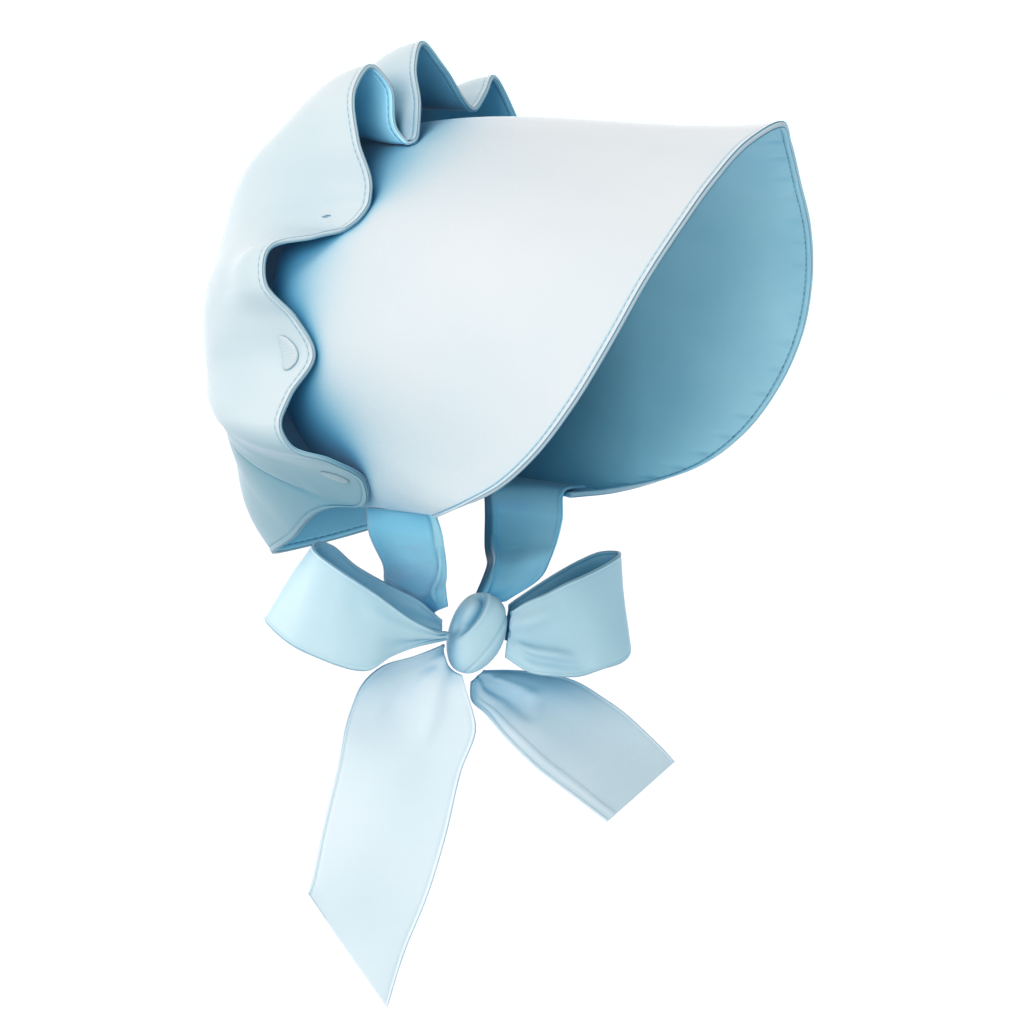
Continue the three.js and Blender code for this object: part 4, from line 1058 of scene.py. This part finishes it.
def build_knot():
    """The band wrapped round the middle of the bow: pulled in at the ends, with a lip where the wrap passes over."""
    around, up = KNOT_AROUND, KNOT_UP
    verts, faces = [], []
    for j in range(1, up):
        theta = math.pi * j / up
        for i in range(around):
            phi = 2 * math.pi * i / around
            d = np.array([math.sin(theta) * math.cos(phi), -math.cos(theta), math.sin(theta) * math.sin(phi)])
            d = d / (np.abs(d) ** KNOT_SQUARE).sum() ** (1 / KNOT_SQUARE)
            front = float(smooth_step((d[2] - KNOT_FRONT["start"]) / KNOT_FRONT["long"]))
            lip = KNOT_LIP["top"] - KNOT_LIP["lean"] * max(0.0, KNOT_LIP["from_height"] - d[1]) ** KNOT_LIP["bend"]
            beyond = lip - d[0]
            above = d[1] - KNOT_LIP["end"]
            hollow = front * float(smooth_step(beyond / KNOT_HOLLOW["step"])
                                   * smooth_step(above / KNOT_HOLLOW["end_long"]))
            hollow *= math.exp(-(max(0.0, beyond - KNOT_HOLLOW["step"]) / KNOT_HOLLOW["wide"]) ** 2)
            edge = front * math.exp(-((-beyond - KNOT_EDGE["aside"]) / KNOT_EDGE["wide"]) ** 2)
            edge *= float(smooth_step(above / KNOT_EDGE["end_long"]))
            fold = front * math.exp(-((d[0] - KNOT_FOLD["at"] - KNOT_FOLD["lean"] * d[1]) / KNOT_FOLD["wide"]) ** 2)
            low = max(0.0, -d[1]) ** KNOT_LOW_BEND
            size = (KNOT_LOOK - KNOT_INSET + KNOT_EDGE["high"] * edge - KNOT_HOLLOW["deep"] * hollow
                    - KNOT_FOLD["deep"] * fold)
            size = size * [1 - KNOT_TAPER * low, 1, 1]
            verts.append(knot_point(d * size - np.array([KNOT_LEAN * low, 0, 0])))
    low, high = len(verts), len(verts) + 1
    verts.append(knot_point(np.array([-KNOT_LEAN, KNOT_INSET - KNOT_LOOK[1], 0.0])))
    verts.append(knot_point(np.array([0, KNOT_LOOK[1] - KNOT_INSET, 0.0])))
    for i in range(around):
        m = (i + 1) % around
        faces.append([low, i, m])
        faces.append([high, (up - 2) * around + m, (up - 2) * around + i])
        for j in range(up - 2):
            a, b = j * around + i, j * around + m
            faces.append([a, a + around, b + around, b])
    points = np.array(verts)
    local = knot_local(points)
    uv = np.stack([local[:, 0] + local[:, 2], local[:, 1]], -1)
    piece = make_object("knot_wrap", points, faces, uv, RIBBON_CLOTH)
    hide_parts("knot")
    return piece


# the room

def build_room():
    low = FLOOR_MM * MM
    floor = bpy.data.objects.new("floor", bpy.data.meshes.new("floor"))
    corners = [(x * FLOOR_HALF, y * FLOOR_HALF, low) for x, y in ((-1, -1), (1, -1), (1, 1), (-1, 1))]
    floor.data.from_pydata(corners, [], [(0, 1, 2, 3)])
    bpy.context.scene.collection.objects.link(floor)
    material = new_material("pale_floor", {"Base Color": FLOOR_PALE, "Roughness": FLOOR_ROUGH})[0]
    floor.data.materials.append(material)

    world = bpy.data.worlds.new("studio")
    bpy.context.scene.world = world
    world.use_nodes = True
    nodes, link = world.node_tree.nodes, world.node_tree.links.new
    place = add_node(nodes, "TexCoord")
    parts = add_node(nodes, "SeparateXYZ")
    sky = colour_ramp(nodes, [(SKY_FROM, HORIZON_WHITE), (SKY_TO, DOME_BLUE)])
    link(place.outputs["Generated"], parts.inputs["Vector"])
    link(parts.outputs["Z"], sky.inputs["Fac"])
    link(sky.outputs["Color"], nodes["Background"].inputs["Color"])


def sun_light(name, towards, strength, spread):
    """Even light from one side; towards is the direction from the object to the light."""
    light = bpy.data.lights.new(name, "SUN")
    light.energy = strength
    light.angle = math.radians(spread)
    light.color = WARM
    lamp = bpy.data.objects.new(name, light)
    lamp.rotation_euler = Vector(towards).to_track_quat("Z", "Y").to_euler()
    bpy.context.scene.collection.objects.link(lamp)


def build_camera():
    azimuth, height = math.radians(CAMERA_AZIMUTH), math.radians(CAMERA_HEIGHT)
    target = Vector(TARGET_MM) * MM
    toward = Vector((math.sin(azimuth) * math.cos(height), -math.cos(azimuth) * math.cos(height), math.sin(height)))
    data = bpy.data.cameras.new("camera")
    data.sensor_width = SENSOR_MM
    data.lens = SENSOR_MM * FOCAL_PX / IMAGE_PX
    data.clip_end = 100
    camera = bpy.data.objects.new("camera", data)
    camera.location = target + toward * (CAMERA_FAR_MM * MM)
    camera.rotation_euler = (-toward).to_track_quat("-Z", "Y").to_euler()
    bpy.context.scene.collection.objects.link(camera)
    bpy.context.scene.camera = camera


bpy.context.scene.view_settings.view_transform = "Standard"
build_camera()
build_room()
for light in LIGHTS:
    sun_light(**light)

brim = build_brim()
crown_surface = build_crown()
pads = [build_pad(crown_surface, pad) for pad in PADS]
for tack in TACKS:
    build_tack(crown_surface, tack)
knot = build_knot()

# each ribbon: its cross rows, its ends at the knot, cloth, pleats and their depth, creases, how it hangs and from what
RIBBONS = [
    ("strap_right", strap_rows(STRAP_RIGHT, -1, CREASE_AT_RIGHT), (1,), STRAP_RIGHT_CLOTH_PAINTED_SHADE, 1.5, 0.8,
     STRAP_RIGHT_CREASES, "hung", brim),
    ("strap_left", strap_rows(STRAP_LEFT, 1, CREASE_AT_LEFT), (1,), STRAP_LEFT_CLOTH_PAINTED_SHADE, 1.5, 0.8,
     STRAP_LEFT_CREASES, "hung", brim),
    ("loop_right", bow_rows(LOOP_RIGHT), (0, 1), RIBBON_CLOTH, 2.0, 1.0, LOOP_RIGHT_CREASES, "folded", knot),
    ("loop_left", bow_rows(LOOP_LEFT), (0, 1), RIBBON_CLOTH, 2.0, 1.2, LOOP_LEFT_CREASES, "folded", knot),
    ("tail_right", bow_rows(TAIL_RIGHT), (0,), TAIL_CLOTH_PAINTED_LIGHT, 2.0, 1.4, TAIL_RIGHT_CREASES, "hung", knot),
    ("tail_left", bow_rows(TAIL_LEFT), (0,), TAIL_CLOTH_PAINTED_LIGHT, 2.0, 1.4, TAIL_LEFT_CREASES, "hung", knot),
]
for *shape, held, rests_on in RIBBONS:
    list(build_ribbon(*shape))
